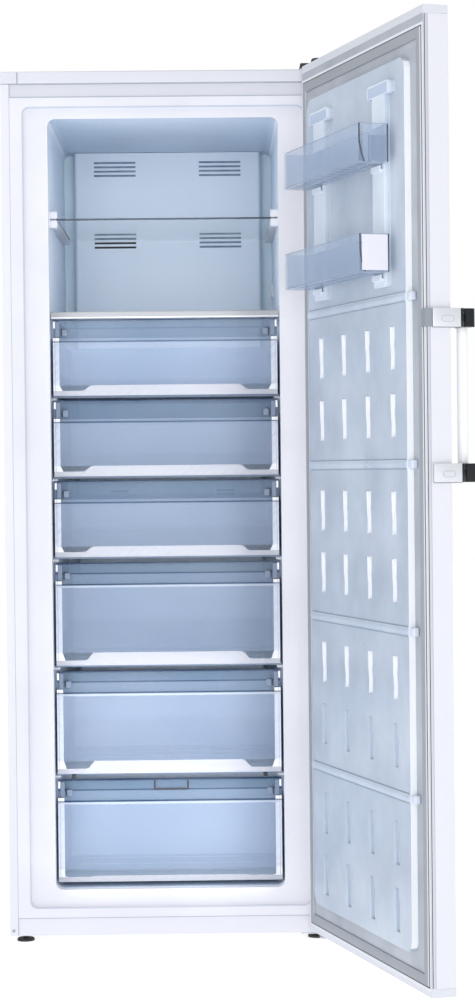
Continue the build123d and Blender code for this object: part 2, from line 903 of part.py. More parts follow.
with BuildPart() as top_hinge:
    with BuildSketch(Plane.XY.offset(cabinet_height)):
        add(hinge_outline(hinge_front, hinge_back, hinge_left, hinge_right))
    extrude(amount=hinge_plate)
    upright_cylinder(hinge_pin, pivot_x, pivot_y, (door_top - pin_length, cabinet_height))
    chamfer(top_hinge.edges().group_by(Axis.Z)[0], length=1)
top_hinge.part.label = "top_hinge"
export_step(top_hinge.part, "parts/top_hinge.step")

cover_bottom = cabinet_height + hinge_plate

with BuildPart() as top_hinge_cover:
    with BuildSketch(Plane.XY.offset(cover_bottom)):
        add(hinge_outline(hinge_front, hinge_back, hinge_left, hinge_right))
    extrude(amount=hinge_cover_height)
    chamfer(top_hinge_cover.edges().group_by(Axis.Z)[-1], length=2)
    block(
        (hinge_left + 2, hinge_right - 2),
        (hinge_front + 2, hinge_back - 2),
        (cover_bottom, cover_bottom + hinge_cover_height - 3),
        mode=Mode.SUBTRACT,
    )
top_hinge_cover.part.label = "top_hinge_cover"
export_step(top_hinge_cover.part, "parts/top_hinge_cover.step")

with BuildPart() as bottom_hinge:
    with BuildSketch(Plane.XY.offset(body_bottom - hinge_plate)):
        add(hinge_outline(front_y + rail_setback, hinge_back, hinge_left - 16, hinge_right))
        with Locations((foot_x, foot_y)):
            Circle(foot_stem + 3, mode=Mode.SUBTRACT)
    extrude(amount=hinge_plate)
    upright_cylinder(hinge_pin, pivot_x, pivot_y, (body_bottom, door_bottom + pin_length))
    upright_cylinder(bush_radius, pivot_x, pivot_y, (body_bottom, door_bottom - fit_gap))
    chamfer(bottom_hinge.edges().group_by(Axis.Z)[-1], length=1)
bottom_hinge.part.label = "bottom_hinge"
export_step(bottom_hinge.part, "parts/bottom_hinge.step")

with BuildPart() as hinge_screws:
    # six-sided heads: three on the top cover, two under the bottom plate
    screw_x = (hinge_left + hinge_right) / 2
    with BuildSketch(Plane.XY.offset(cover_bottom)):
        with Locations([(screw_x, hinge_front + step) for step in top_screws]):
            RegularPolygon(screw_head, 6)
    extrude(amount=screw_head_height)
    with BuildSketch(Plane.XY.offset(body_bottom - hinge_plate)):
        with Locations([(screw_x - bottom_screw_offset, hinge_front + step) for step in bottom_screws]):
            RegularPolygon(screw_head, 6)
    extrude(amount=-screw_head_height)
hinge_screws.part.label = "hinge_screws"
export_step(hinge_screws.part, "parts/hinge_screws.step")

with BuildPart() as flange_plugs:
    with BuildSketch(front_view(front_y)):
        for side in (-1, 1):
            with Locations((side * (half_width - 8.5), body_bottom + 11.5)):
                RegularPolygon(3.5, 12)
    extrude(amount=1.2)
flange_plugs.part.label = "flange_plugs"
export_step(flange_plugs.part, "parts/flange_plugs.step")

# ================================================================ shelves
support_web = 2
upper_glass_half = opening_half - support_web - 0.5
glass_low = upper_shelf_height - glass

with BuildPart() as shelf_supports:
    for side in (-1, 1):
        wall = side * opening_half
        inward = wall - side * support_width
        depth_limits = (shelf_front, shelf_back)
        block((wall, inward), depth_limits, (glass_low - 6, upper_shelf_height + 4))
        nose_middle = (glass_low + upper_shelf_height) / 2
        nose = (nose_middle - support_height / 2, nose_middle + support_height / 2)
        block((wall, inward), (shelf_front - 5, shelf_front - 5 + support_length), nose)
        nose_edges = shelf_supports.edges().filter_by(Axis.X).group_by(Axis.Y)[0]
    fillet(nose_edges, radius=5)
    for side in (-1, 1):
        web = side * (opening_half - support_web)
        block(
            (web, web - side * support_width),
            (shelf_front - 10, shelf_back),
            (glass_low - fit_gap, upper_shelf_height + fit_gap),
            mode=Mode.SUBTRACT,
        )
shelf_supports.part.label = "shelf_supports"
export_step(shelf_supports.part, "parts/shelf_supports.step")

with BuildPart() as upper_shelf:
    block(
        (-upper_glass_half, upper_glass_half),
        (shelf_front, shelf_back - 2),
        (glass_low, upper_shelf_height),
    )
    fillet(upper_shelf.edges().filter_by(Axis.X).group_by(Axis.Y)[0], radius=1.2)
upper_shelf.part.label = "upper_shelf"
export_step(upper_shelf.part, "parts/upper_shelf.step")

with BuildPart() as fixed_shelf_trim:
    block(
        (-shelf_half, shelf_half),
        (drawer_face, drawer_face + trim_depth),
        (trim_bottom, trim_bottom + trim_height),
    )
    fillet(fixed_shelf_trim.edges().filter_by(Axis.X).group_by(Axis.Y)[0], radius=3)
    block(
        (-shelf_half, shelf_half),
        (drawer_face + trim_wall, drawer_face + trim_depth),
        (fixed_shelf_top - glass, fixed_shelf_top),
        mode=Mode.SUBTRACT,
    )
fixed_shelf_trim.part.label = "fixed_shelf_trim"
export_step(fixed_shelf_trim.part, "parts/fixed_shelf_trim.step")

with BuildPart() as drawer_plates:
    for top in glass_tops:
        block((-shelf_half, shelf_half), (plate_front, shelf_back), (top - glass, top))
    # the plate over the top drawer reaches forward into its trim
    top_plate = (drawer_face + trim_wall, shelf_back)
    block((-shelf_half, shelf_half), top_plate, (fixed_shelf_top - glass, fixed_shelf_top))
drawer_plates.part.label = "drawer_plates"
export_step(drawer_plates.part, "parts/drawer_plates.step")


# ================================================================ drawers
def drawer_front(floor, height):
    """The clear front: a flat face, a set-back grip band above it and a short lip along the top."""
    line = floor + height - grip_band
    top = floor + height
    face = drawer_face
    wall = drawer_front_wall
    band = face + grip_step
    with BuildPart() as front:
        with BuildSketch(side_view(-drawer_front_width / 2)):
            with BuildLine():
                Polyline(
                    (face, floor),
                    (face, line),
                    (band, line + 2),
                    (band, top - wall),
                    (band - grip_lip, top - wall),
                    (band - grip_lip, top),
                    (band + wall, top),
                    (band + wall, line - 1),
                    (face + wall, line - wall),
                    (face + wall, floor),
                    close=True,
                )
            make_face()
        extrude(amount=drawer_front_width)
        side_edges = front.edges().filter_by(Axis.Z).group_by(Axis.Y)[0]
        fillet(side_edges, radius=drawer_front_wall * 0.8)
    return front


def drawer_tub(floor, height, back, runner):
    """The open box behind the front, with an open U-shaped front frame and a ribbed floor."""
    line = floor + height - grip_band
    half = drawer_tub_width / 2
    start = drawer_face + drawer_front_wall
    length = back - start
    step_back = drawer_face + grip_step + drawer_front_wall
    low = floor - fit_gap
    wall_top = floor + height - 8
    with BuildPart() as tub:
        with BuildSketch(side_view(-half)):
            with BuildLine():
                Polyline(
                    (start, low),
                    (start, line - 4),
                    (step_back, line - 4),
                    (step_back, line + 8),
                    (step_back + 58, wall_top),
                    (back, wall_top),
                    (back, low),
                    close=True,
                )
            make_face()
        extrude(amount=2 * half)
        chamfer(tub.edges().filter_by(Axis.Z).group_by(Axis.Y)[-1], length=tub_corner)
        with BuildSketch(Plane.XY.offset(low + drawer_wall)) as hollow:
            with Locations((0, (start + back) / 2)):
                Rectangle(2 * half - 2 * drawer_wall, length - 2 * drawer_wall)
            chamfer(hollow.vertices().group_by(Axis.Y)[-1], length=tub_corner - drawer_wall * 0.6)
        extrude(amount=height, mode=Mode.SUBTRACT)
        # the front wall is left as a frame: two bars, a sill and a raised tongue on the sill
        with BuildSketch(front_view(start)):
            with BuildLine():
                sill = low + frame_sill
                tongue_low = half - 62
                tongue_high = tongue_low - frame_tongue_slope / 2
                Polyline(
                    (frame_bar - half, line + 20),
                    (frame_bar - half, sill),
                    (-tongue_low, sill),
                    (-tongue_high, sill + frame_tongue),
                    (tongue_high, sill + frame_tongue),
                    (tongue_low, sill),
                    (half - frame_bar, sill),
                    (half - frame_bar, line + 20),
                    close=True,
                )
            make_face()
        extrude(amount=-2 * drawer_wall, mode=Mode.SUBTRACT)
        # ribs across and along the floor
        rib_z = (low + drawer_wall, low + drawer_wall + floor_rib)
        for rib in range(floor_ribs_long):
            x = (rib - (floor_ribs_long - 1) / 2) * half * 0.6
            block((x - 1, x + 1), (start + 30, back - 30), rib_z)
        for rib in range(floor_ribs_across):
            y = start + 60 + rib * (length - 120) / (floor_ribs_across - 1)
            block((-half + 30, half - 30), (y - 1, y + 1), rib_z)
        # slim rims stiffen the two side walls
        rim_z = (wall_top - 3, wall_top)
        for side in (-1, 1):
            block((side * half, side * (half + 3)), (step_back + 70, back - 12), rim_z)
        if runner:
            for side in (-1, 1):
                rail = (side * (half - runner_offset - runner_width), side * (half - runner_offset))
                block(rail, (start, back - 12), (opening_bottom + fit_gap, low))
    return tub


for index in range(6):
    number = 6 - index
    floor = drawer_floors[index]
    height = drawer_heights[index]
    back = cover_face - drawer_back_gap if index else hump_front - bottom_drawer_gap

    tub = drawer_tub(floor, height, back, runner=index == 0)
    tub.part.label = f"drawer_tub_{number}"
    export_step(tub.part, f"parts/drawer_tub_{number}.step")

    front = drawer_front(floor, height)
    if index == 0:
        # a raised U on the middle of the lowest front gives the fingers a hold
        with BuildPart() as grip_mark:
            add(front.part)
            with BuildSketch(front_view(drawer_face + grip_step)):
                with Locations((0, floor + height - 15)):
                    Rectangle(75, 23)
                with Locations((0, floor + height - 12)):
                    Rectangle(67, 23, mode=Mode.SUBTRACT)
            extrude(amount=2)
        front = grip_mark
    front.part.label = f"drawer_front_{number}"
    export_step(front.part, f"parts/drawer_front_{number}.step")

# ================================================================ door casing
skin_low = door_bottom + end_cap_height
skin_high = door_top - end_cap_height
door_depth_middle = (door_face + door_back) / 2

with BuildPart() as door_skin:
    with BuildSketch(door_level(skin_low)):
        with Locations((door_centre, door_depth_middle)):
            Rectangle(cabinet_width, door_thickness)
        with Locations((door_centre, door_depth_middle + steel_sheet)):
            Rectangle(cabinet_width - 2 * steel_sheet, door_thickness, mode=Mode.SUBTRACT)
    extrude(amount=skin_high - skin_low)
door_skin.part.label = "door_skin"
export_step(door_skin.part, "parts/door_skin.step")

with BuildPart(door_frame) as door_end_caps:
    for outer, inner in ((door_top, skin_high), (door_bottom, skin_low)):
        face_wall = 3 if outer > inner else -3
        block((door_free_edge, door_hinge_edge), (door_face, door_back), (inner, outer))
        block(
            (door_free_edge + top_cover_wall, door_hinge_edge - top_cover_wall),
            (door_face + top_cover_wall, door_back - top_cover_wall),
            (inner, outer - face_wall),
            mode=Mode.SUBTRACT,
        )
        upright_cylinder(bush_radius + 3, 0, 0, (inner, outer))
        upright_cylinder(bush_radius, 0, 0, (inner, outer), Mode.SUBTRACT)
door_end_caps.part.label = "door_end_caps"
export_step(door_end_caps.part, "parts/door_end_caps.step")

with BuildPart(door_frame) as door_bushes:
    for outer, inner in ((door_top, skin_high), (door_bottom, skin_low)):
        upright_cylinder(bush_radius, 0, 0, (inner, outer))
        upright_cylinder(hinge_pin + running_fit, 0, 0, (inner, outer), Mode.SUBTRACT)
door_bushes.part.label = "door_bushes"
export_step(door_bushes.part, "parts/door_bushes.step")

with BuildPart(door_frame) as door_insulation:
    block(
        (door_free_edge + steel_sheet, door_hinge_edge - steel_sheet),
        (door_face + steel_sheet, door_back - liner_wall),
        (skin_low, skin_high),
    )
    block(
        (door_centre - plateau_half + 12, door_centre + plateau_half - 12),
        (door_back - liner_wall, plateau_face - liner_wall - dimple_depth - 1),
        (plateau_low + 12, plateau_high - 12),
    )
door_insulation.part.label = "door_insulation"
export_step(door_insulation.part, "parts/door_insulation.step")

# ================================================================ door liner
plateau_size = (2 * plateau_half, plateau_high - plateau_low)
column_places = [door_centre - column_offset, door_centre + column_offset]
dimple_zones = [level - ridge_pitch / 2 for level in ridge_heights]
pocket_gap = basket_wall + 2 * 0.4


def dimple_outlines(grow):
    """Every dimple of the door's inner face, grown all round by a wall."""
    with BuildSketch() as outlines:
        for zone in dimple_zones:
            with Locations((door_centre, zone)):
                with GridLocations(dimple_pitch, 2 * dimple_row, 4, 2):
                    Rectangle(dimple_width + 2 * grow, dimple_length + 2 * grow)
    return outlines.sketch


with BuildPart(door_frame) as door_liner:
    block(
        (door_free_edge + steel_sheet, door_hinge_edge - steel_sheet),
        (door_back - liner_wall, door_back),
        (skin_low, skin_high),
    )
    # the raised middle, hollow behind
    with BuildSketch(door_view(door_back)):
        with Locations((door_centre, plateau_middle)):
            RectangleRounded(*plateau_size, plateau_corner)
    extrude(amount=-plateau_rise)
    with BuildSketch(door_view(door_back - liner_wall)):
        with Locations((door_centre, plateau_middle)):
            RectangleRounded(plateau_size[0] - 4, plateau_size[1] - 4, plateau_corner - 2)
    extrude(amount=-plateau_rise, mode=Mode.SUBTRACT)
    # tall shallow dimples, two rows of four under each ridge
    with BuildSketch(door_view(plateau_face - dimple_depth - liner_wall)):
        add(dimple_outlines(liner_wall))
    extrude(amount=-dimple_depth)
    with BuildSketch(door_view(plateau_face)):
        add(dimple_outlines(0))
    extrude(amount=dimple_depth, mode=Mode.SUBTRACT)
    # rounded ridges run right across
    for level in ridge_heights:
        start = door_frame.from_local_coords(Vector(door_centre - plateau_half + 2, plateau_face, level))
        with BuildSketch(Plane(origin=start, x_dir=door_frame.y_dir, z_dir=door_frame.x_dir)):
            with BuildLine():
                Line((0, -ridge_width / 2), (0, ridge_width / 2))
                ThreePointArc((0, ridge_width / 2), (ridge_rise, 0), (0, -ridge_width / 2))
            make_face()
        extrude(amount=2 * plateau_half - 4)
    # two columns with broad heads carry the baskets
    with BuildSketch(door_view(plateau_face)):
        for x in column_places:
            with Locations((x, (column_low + column_high) / 2)):
                RectangleRounded(column_width, column_length, 10)
            with Locations((x, column_high - column_head_height / 2)):
                RectangleRounded(column_head_width, column_head_height, 8)
    extrude(amount=-column_rise)
    # pockets under each basket take the tabs of its back wall
    for x in column_places:
        for floor in basket_floors:
            block(
                (x - 24, x + 24),
                (column_face, column_face + pocket_gap + pocket_wall),
                (floor - basket_tab - pocket_wall - 1, floor - 1.5),
            )
            block(
                (x - 24, x + 24),
                (column_face, column_face + pocket_gap),
                (floor - basket_tab - fit_gap, floor),
                mode=Mode.SUBTRACT,
            )
door_liner.part.label = "door_liner"
export_step(door_liner.part, "parts/door_liner.step")

gasket_half = cabinet_width / 2 - pivot_inset
gasket_low = door_bottom + gasket_bottom
gasket_high = door_top - gasket_top
gasket_depth = door_gap - gasket_clearance


def gasket_ring(inset, width, start, depth):
    """One level of the seal: a frame all round the inner face of the door."""
    outer_width = 2 * (gasket_half - inset)
    outer_height = gasket_high - gasket_low - 2 * inset
    with BuildPart() as ring:
        with BuildSketch(door_view(door_back + start)):
            with Locations((door_centre, (gasket_low + gasket_high) / 2)):
                Rectangle(outer_width, outer_height)
                Rectangle(outer_width - 2 * width, outer_height - 2 * width, mode=Mode.SUBTRACT)
        extrude(amount=-depth)
    return ring.part


with BuildPart() as door_gasket:
    add(gasket_ring(2, gasket_width - 4, 0, 3))
    add(gasket_ring(5, gasket_width - 10, 3, gasket_depth - 7))
    add(gasket_ring(0, gasket_width, gasket_depth - 4, 4))
door_gasket.part.label = "door_gasket"
export_step(door_gasket.part, "parts/door_gasket.step")

# ================================================================ door baskets
basket_back = column_face + 0.4
basket_middle = basket_back + basket_depth / 2
hole_pitch_across = basket_width / (holes_across + 1)
hole_pitch_deep = basket_depth / (holes_deep + 0.5)

for number, floor in enumerate(basket_floors, 1):
    with BuildPart(door_frame) as basket:
        with BuildSketch(door_level(floor)):
            with Locations((door_centre, basket_middle)):
                Rectangle(basket_width, basket_depth)
        extrude(amount=basket_height)
        upright = basket.edges().filter_by(Axis.Z)
        far_side = upright.sort_by(lambda edge: door_frame.to_local_coords(edge.center()).Y)[-2:]
        fillet(far_side, radius=basket_corner)
        with BuildSketch(door_level(floor + basket_wall)):
            with Locations((door_centre, basket_middle)):
                Rectangle(basket_width - 2 * basket_wall, basket_depth - 2 * basket_wall)
        extrude(amount=basket_height, mode=Mode.SUBTRACT)
        # lattice floor
        with BuildSketch(door_level(floor)):
            with Locations((door_centre, basket_middle)):
                with GridLocations(hole_pitch_across, hole_pitch_deep, holes_across, holes_deep):
                    Rectangle(hole_pitch_across - lattice_bar, hole_pitch_deep - lattice_bar)
        extrude(amount=basket_wall, mode=Mode.SUBTRACT)
        for x in column_places:
            block((x - 22, x + 22), (basket_back, basket_back + basket_wall), (floor - basket_tab, floor))
    basket.part.label = f"door_basket_{number}"
    export_step(basket.part, f"parts/door_basket_{number}.step")

# ================================================================ handle
bracket_side = door_free_edge - bracket_proud
bracket_end = door_face - bracket_reach
lever_pivot = (door_free_edge + 3, bracket_end + 4)
lever_start = bracket_end - lever_gap
lever_end = lever_start - lever_depth
lever_tip = bracket_side + lever_arm
slot_half = knuckle + 0.4

with BuildPart(door_frame) as handle_brackets:
    for level in handle_levels:
        span = (level - handle_height / 2, level + handle_height / 2)
        block((bracket_side, door_free_edge), (door_face, bracket_start), span)
        block((bracket_side, bracket_side + bracket_width), (bracket_end, door_face), span)
        block(
            (bracket_side, bracket_side + bracket_width),
            (bracket_end, bracket_end + 14),
            (level - slot_half, level + slot_half),
            mode=Mode.SUBTRACT,
        )
        upright_cylinder(handle_pin, *lever_pivot, (level - slot_half, level + slot_half))
    # the upper bracket has a channel for the pusher
    level = handle_levels[0]
    block(
        (door_free_edge - 5, door_free_edge),
        (bracket_start - pusher_guide - 1, bracket_start),
        (level - pusher_slot / 2 - 0.4, level + pusher_slot / 2 + 0.4),
        mode=Mode.SUBTRACT,
    )
handle_brackets.part.label = "handle_brackets"
export_step(handle_brackets.part, "parts/handle_brackets.step")

with BuildPart(door_frame) as handle_plugs:
    for level in handle_levels:
        centre = door_frame.from_local_coords(Vector(bracket_side, -13, level - 2))
        with BuildSketch(Plane(origin=centre, x_dir=door_frame.y_dir, z_dir=-door_frame.x_dir)):
            SlotOverall(plug_length, plug_width)
        extrude(amount=1)
handle_plugs.part.label = "handle_plugs"
export_step(handle_plugs.part, "parts/handle_plugs.step")

with BuildPart(door_frame) as handle_arms:
    for level in handle_levels:
        block(
            (bracket_side, lever_tip),
            (lever_end, lever_start),
            (level - handle_height / 2, level + handle_height / 2),
        )
    chamfer(handle_arms.edges().filter_by(Axis.Z), length=3)
    for level in handle_levels:
        tongue = (level - knuckle, level + knuckle)
        block(
            (lever_pivot[0] - knuckle, lever_pivot[0] + knuckle),
            (lever_start - 1, lever_pivot[1]),
            tongue,
        )
        upright_cylinder(knuckle, *lever_pivot, tongue)
        upright_cylinder(handle_pin + running_fit, *lever_pivot, tongue, Mode.SUBTRACT)
handle_arms.part.label = "handle_arms"
export_step(handle_arms.part, "parts/handle_arms.step")

with BuildPart(door_frame) as handle_bar:
    bar_low = handle_levels[1] + handle_height / 2
    bar_high = handle_levels[0] - handle_height / 2
    bar_x = lever_tip - bar_radius - 2
    upright_cylinder(bar_radius, bar_x, (lever_start + lever_end) / 2, (bar_low, bar_high))
handle_bar.part.label = "handle_bar"
export_step(handle_bar.part, "parts/handle_bar.step")

with BuildPart(door_frame) as handle_pusher:
    level = handle_levels[0]
    head = (level - pusher_height / 2, level + pusher_height / 2)
    block(
        (door_free_edge - 4.6, door_free_edge - 0.4),
        (bracket_start - pusher_guide, bracket_start + 1),
        (level - pusher_slot / 2, level + pusher_slot / 2),
    )
    block((bracket_side, door_free_edge - 0.4), (bracket_start + 1, pusher_rest), head)
    block((bracket_side, bracket_side + pusher_hook), (door_back + 0.5, pusher_rest), head)
handle_pusher.part.label = "handle_pusher"
export_step(handle_pusher.part, "parts/handle_pusher.step")
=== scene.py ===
import math

import bmesh
import bpy
from mathutils import Matrix, Vector


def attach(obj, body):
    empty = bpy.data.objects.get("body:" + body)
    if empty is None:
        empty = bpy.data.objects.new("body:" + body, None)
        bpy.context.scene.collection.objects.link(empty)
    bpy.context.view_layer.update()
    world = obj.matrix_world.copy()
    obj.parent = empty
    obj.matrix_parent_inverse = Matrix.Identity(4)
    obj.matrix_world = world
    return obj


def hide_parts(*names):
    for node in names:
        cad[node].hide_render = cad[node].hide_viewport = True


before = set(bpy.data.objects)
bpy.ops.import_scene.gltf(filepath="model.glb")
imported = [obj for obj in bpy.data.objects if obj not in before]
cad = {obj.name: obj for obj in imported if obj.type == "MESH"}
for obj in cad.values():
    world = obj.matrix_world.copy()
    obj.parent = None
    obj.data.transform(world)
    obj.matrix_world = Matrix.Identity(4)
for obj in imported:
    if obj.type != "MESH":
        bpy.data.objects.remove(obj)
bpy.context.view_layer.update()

# ---------------------------------------------------------------- places, in metres
hair = 0.0001  # how close a corner lies to a line that it is on
near = 0.001  # the same, for the walls of a drawer's box
sides = ((-1, "left"), (1, "right"))

front_y = -0.330  # the cabinet's front
frame_y = -0.297  # the white frames behind the drawers' clear fronts
drawer_floors = {1: 1.189, 2: 1.013, 3: 0.837, 4: 0.600, 5: 0.363, 6: 0.126}
drawer_heights = {1: 0.166, 2: 0.166, 3: 0.166, 4: 0.224, 5: 0.224, 6: 0.224}
drawer_backs = {1: 0.193, 2: 0.193, 3: 0.193, 4: 0.193, 5: 0.193, 6: 0.048}

door_turn = math.radians(106.5)
door_pivot = (0.335, -0.373, 0)
door_place = Matrix.Translation(door_pivot) @ Matrix.Rotation(door_turn, 4, "Z")
door_free, door_hinge = -0.685, 0.015
door_mid = (door_free + door_hinge) / 2
door_margin = 0.030  # the flat margin of the inner face, in the closed door's own frame
handle_levels = (1.3045, 1.0135)
top_ridge, band_pitch = 1.349, 0.318  # the four ridges across the inner face
dimple_drop, dimple_step = 0.130, 0.138
basket_floors = {1: 1.608, 2: 1.398}


def node(tree, kind, values=None, **settings):
    """A new shader node with its settings, and constants on its open sockets."""
    made = tree.nodes.new(f"ShaderNode{kind}")
    for name, value in settings.items():
        setattr(made, name, value)
    for socket, value in (values or {}).items():
        made.inputs[socket].default_value = value
    return made


# ---------------------------------------------------------------- camera and studio
def set_camera():
    """The photograph's camera: five metres off, a little right of the cabinet's middle."""
    lens = bpy.data.cameras.new("camera")
    lens.lens = 84.17
    lens.sensor_width = 36
    lens.clip_end = 60
    camera = bpy.data.objects.new("camera", lens)
    bpy.context.scene.collection.objects.link(camera)
    yaw, pitch, roll = (math.radians(a) for a in (-0.679, -0.733, 0.598))
    aim = Matrix.Rotation(yaw, 4, "Z") @ Matrix.Rotation(math.pi / 2 + pitch, 4, "X")
    place = Matrix.Translation((0.094, -5.405, 1.023))
    camera.matrix_world = place @ aim @ Matrix.Rotation(-roll, 4, "Z")
    bpy.context.scene.camera = camera


def soft_box(name, place, aim, width, height, power):
    """A soft light at a place, turned towards a point."""
    light = bpy.data.lights.new(name, "AREA")
    light.shape = "RECTANGLE"
    light.size, light.size_y = width, height
    light.energy = power
    holder = bpy.data.objects.new(name, light)
    bpy.context.scene.collection.objects.link(holder)
    holder.location = place
    holder.rotation_euler = (Vector(aim) - Vector(place)).to_track_quat("-Z", "Y").to_euler()


def light_studio():
    """A white room, a broad front light, one high on the left, and two fills in the cabinet's mouth."""
    world = bpy.data.worlds.new("white_room")
    bpy.context.scene.world = world
    world.use_nodes = True
    tree = world.node_tree
    tree.nodes.clear()
    seen = node(tree, "LightPath")
    around = node(tree, "Background", {"Color": (0.93, 0.96, 1.0, 1), "Strength": 0.60})
    backdrop = node(tree, "Background", {"Color": (1, 1, 1, 1), "Strength": 1.0})
    mix = node(tree, "MixShader")
    out = node(tree, "OutputWorld")
    tree.links.new(seen.outputs["Is Camera Ray"], mix.inputs["Fac"])
    tree.links.new(around.outputs[0], mix.inputs[1])
    tree.links.new(backdrop.outputs[0], mix.inputs[2])
    tree.links.new(mix.outputs[0], out.inputs["Surface"])
    soft_box("front_light", (0.1, -5.8, 1.2), (0, 0, 0.9), 3.4, 3.0, 88)
    soft_box("fill_in_cabinet", (-0.03, -0.345, 0.95), (-0.03, 1, 0.95), 0.38, 1.62, 1.28)
    soft_box("fill_low_drawers", (0, -0.345, 0.36), (0, 1, 0.36), 0.44, 0.5, 0.35)
    soft_box("high_light", (-1.6, -1.5, 4.2), (0, 0, 1.0), 2.4, 2.4, 24)
    view = bpy.context.scene.view_settings
    view.view_transform = "Standard"
    view.look = "None"


def lay_floor():
    """A plain pale floor, wide enough for every view."""
    bpy.ops.mesh.primitive_plane_add(size=40, location=(0, 0, -0.0002))
    floor = bpy.context.object
    floor.name = "studio_floor"
    fix_place(floor)
    material, tree, shader = blank_material("studio_floor")
    shader.inputs["Roughness"].default_value = 0.9
    shader.inputs["Specular IOR Level"].default_value = 0.1
    shader.inputs["Emission Color"].default_value = (1, 1, 1, 1)
    shader.inputs["Emission Strength"].default_value = 0.60
    vary_colour(tree, shader, (0.93, 0.93, 0.94), 0.01, 1.5)
    floor.data.materials.append(material)


# ---------------------------------------------------------------- modelling steps
def rest():
    """Leaves edit mode and selects nothing, so the next step acts on its own piece only."""
    if bpy.context.object and bpy.context.object.mode != "OBJECT":
        bpy.ops.object.mode_set(mode="OBJECT")
    bpy.ops.object.select_all(action="DESELECT")


def take_up(piece):
    """Selects one piece and nothing else."""
    rest()
    piece.select_set(True)
    bpy.context.view_layer.objects.active = piece


def fix_place(piece):
    """Moves the piece's place, turn and size into its mesh."""
    take_up(piece)
    bpy.ops.object.transform_apply(location=True, rotation=True, scale=True)


def start_block(name, low, high):
    """A block between two corners, to be shaped further."""
    rest()
    middle = [(a + b) / 2 for a, b in zip(low, high)]
    size = [b - a for a, b in zip(low, high)]
    bpy.ops.mesh.primitive_cube_add(size=1, location=middle, scale=size)
    piece = bpy.context.object
    piece.name = name
    fix_place(piece)
    return piece


def start_sheet(name, low, high, y, facing=-1):
    """An upright sheet between two (x, z) corners at depth y, facing front (-1) or back (1)."""
    rest()
    middle = ((low[0] + high[0]) / 2, y, (low[1] + high[1]) / 2)
    turn = (-facing * math.pi / 2, 0, 0)
    bpy.ops.mesh.primitive_plane_add(size=1, location=middle, rotation=turn)
    piece = bpy.context.object
    piece.name = name
    piece.scale = (high[0] - low[0], high[1] - low[1], 1)
    fix_place(piece)
    return piece


def open_mesh(piece, action="SELECT"):
    """Goes into edit mode on one piece, with everything selected or, for DESELECT, nothing."""
    take_up(piece)
    bpy.ops.object.mode_set(mode="EDIT")
    bpy.ops.mesh.select_all(action=action)


def pick(piece, kind, test):
    """In edit mode, selects only the faces, edges or corners that pass the test."""
    open_mesh(piece, "DESELECT")
    bpy.ops.mesh.select_mode(type=kind)
    mesh = bmesh.from_edit_mesh(piece.data)
    for part in {"FACE": mesh.faces, "EDGE": mesh.edges, "VERT": mesh.verts}[kind]:
        if test(part):
            part.select_set(True)
    bmesh.update_edit_mesh(piece.data)


def centre_of(part):
    """The middle of a face or an edge."""
    return sum((corner.co for corner in part.verts), Vector()) / len(part.verts)


def cut_across(piece, axis, places):
    """Divides the piece by planes square to one axis, at the places given."""
    open_mesh(piece)
    for place in places:
        point, normal = [0, 0, 0], [0, 0, 0]
        point[axis], normal[axis] = place, 1
        bpy.ops.mesh.select_all(action="SELECT")
        bpy.ops.mesh.bisect(plane_co=point, plane_no=normal)
    rest()


def shift_picked(piece, test, move):
    """Moves the corners that pass the test."""
    pick(piece, "VERT", test)
    bpy.ops.transform.translate(value=move)
    rest()


def drop_faces(piece, test):
    """Cuts away the faces that pass the test."""
    pick(piece, "FACE", test)
    bpy.ops.mesh.delete(type="FACE")
    rest()


def round_picked(piece, kind, test, width, segments):
    """Rounds the edges or corners that pass the test."""
    pick(piece, kind, test)
    bpy.ops.mesh.bevel(offset=width, segments=segments, affect={"EDGE": "EDGES", "VERT": "VERTICES"}[kind])
    rest()


def paint(piece, index, test):
    """Gives the faces that pass the test the piece's finish of that index."""
    pick(piece, "FACE", test)
    piece.active_material_index = index
    bpy.ops.object.material_slot_assign()
    rest()


def work(piece, kind, **settings):
    """Adds one modifier and applies it."""
    take_up(piece)
    step = piece.modifiers.new(kind.lower(), kind)
    for name, value in settings.items():
        setattr(step, name, value)
    bpy.ops.object.modifier_apply(modifier=step.name)


def round_edges(piece, width, segments=2):
    """Softens every edge sharper than 40 degrees."""
    sharp = math.radians(40)
    work(piece, "BEVEL", width=width, segments=segments, limit_method="ANGLE", angle_limit=sharp)


def copy_of(piece, name, rise):
    """The same piece again with its own mesh, at another height."""
    take_up(piece)
    bpy.ops.object.duplicate()
    copy = bpy.context.object
    copy.name = name
    bpy.ops.transform.translate(value=(0, 0, rise))
    fix_place(copy)
    return copy


def hang_on_door(piece):
    """Takes a piece modelled in the closed door's own frame to where the open door stands."""
    piece.matrix_world = door_place
    fix_place(piece)
    return piece


def dress(piece, finish, body, slot, *nodes):
    """Gives a finished piece its finish, its body and the CAD nodes it stands for; the record slot is not
    used.
    """
    take_up(piece)
    if not piece.data.materials:
        piece.data.materials.append(finish)
    bpy.ops.object.shade_smooth_by_angle(angle=math.radians(35))
    rest()
    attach(piece, body)
    if nodes:
        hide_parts(*nodes)


def add_block(name, low, high, soft, finish, body, slot, segments=2):
    """A plain block with softened edges."""
    piece = start_block(name, low, high)
    round_edges(piece, soft, segments)
    dress(piece, finish, body, slot)


def add_door_block(name, low, high, soft, finish, slot, segments=2, body="door"):
    """A plain block with softened edges, given in the closed door's own frame."""
    piece = start_block(name, low, high)
    round_edges(piece, soft, segments)
    dress(hang_on_door(piece), finish, body, slot)


# ---------------------------------------------------------------- finishes
def blank_material(name):
    """A new material, its tree and its shader."""
    material = bpy.data.materials.new(name)
    material.use_nodes = True
    tree = material.node_tree
    return material, tree, tree.nodes["Principled BSDF"]


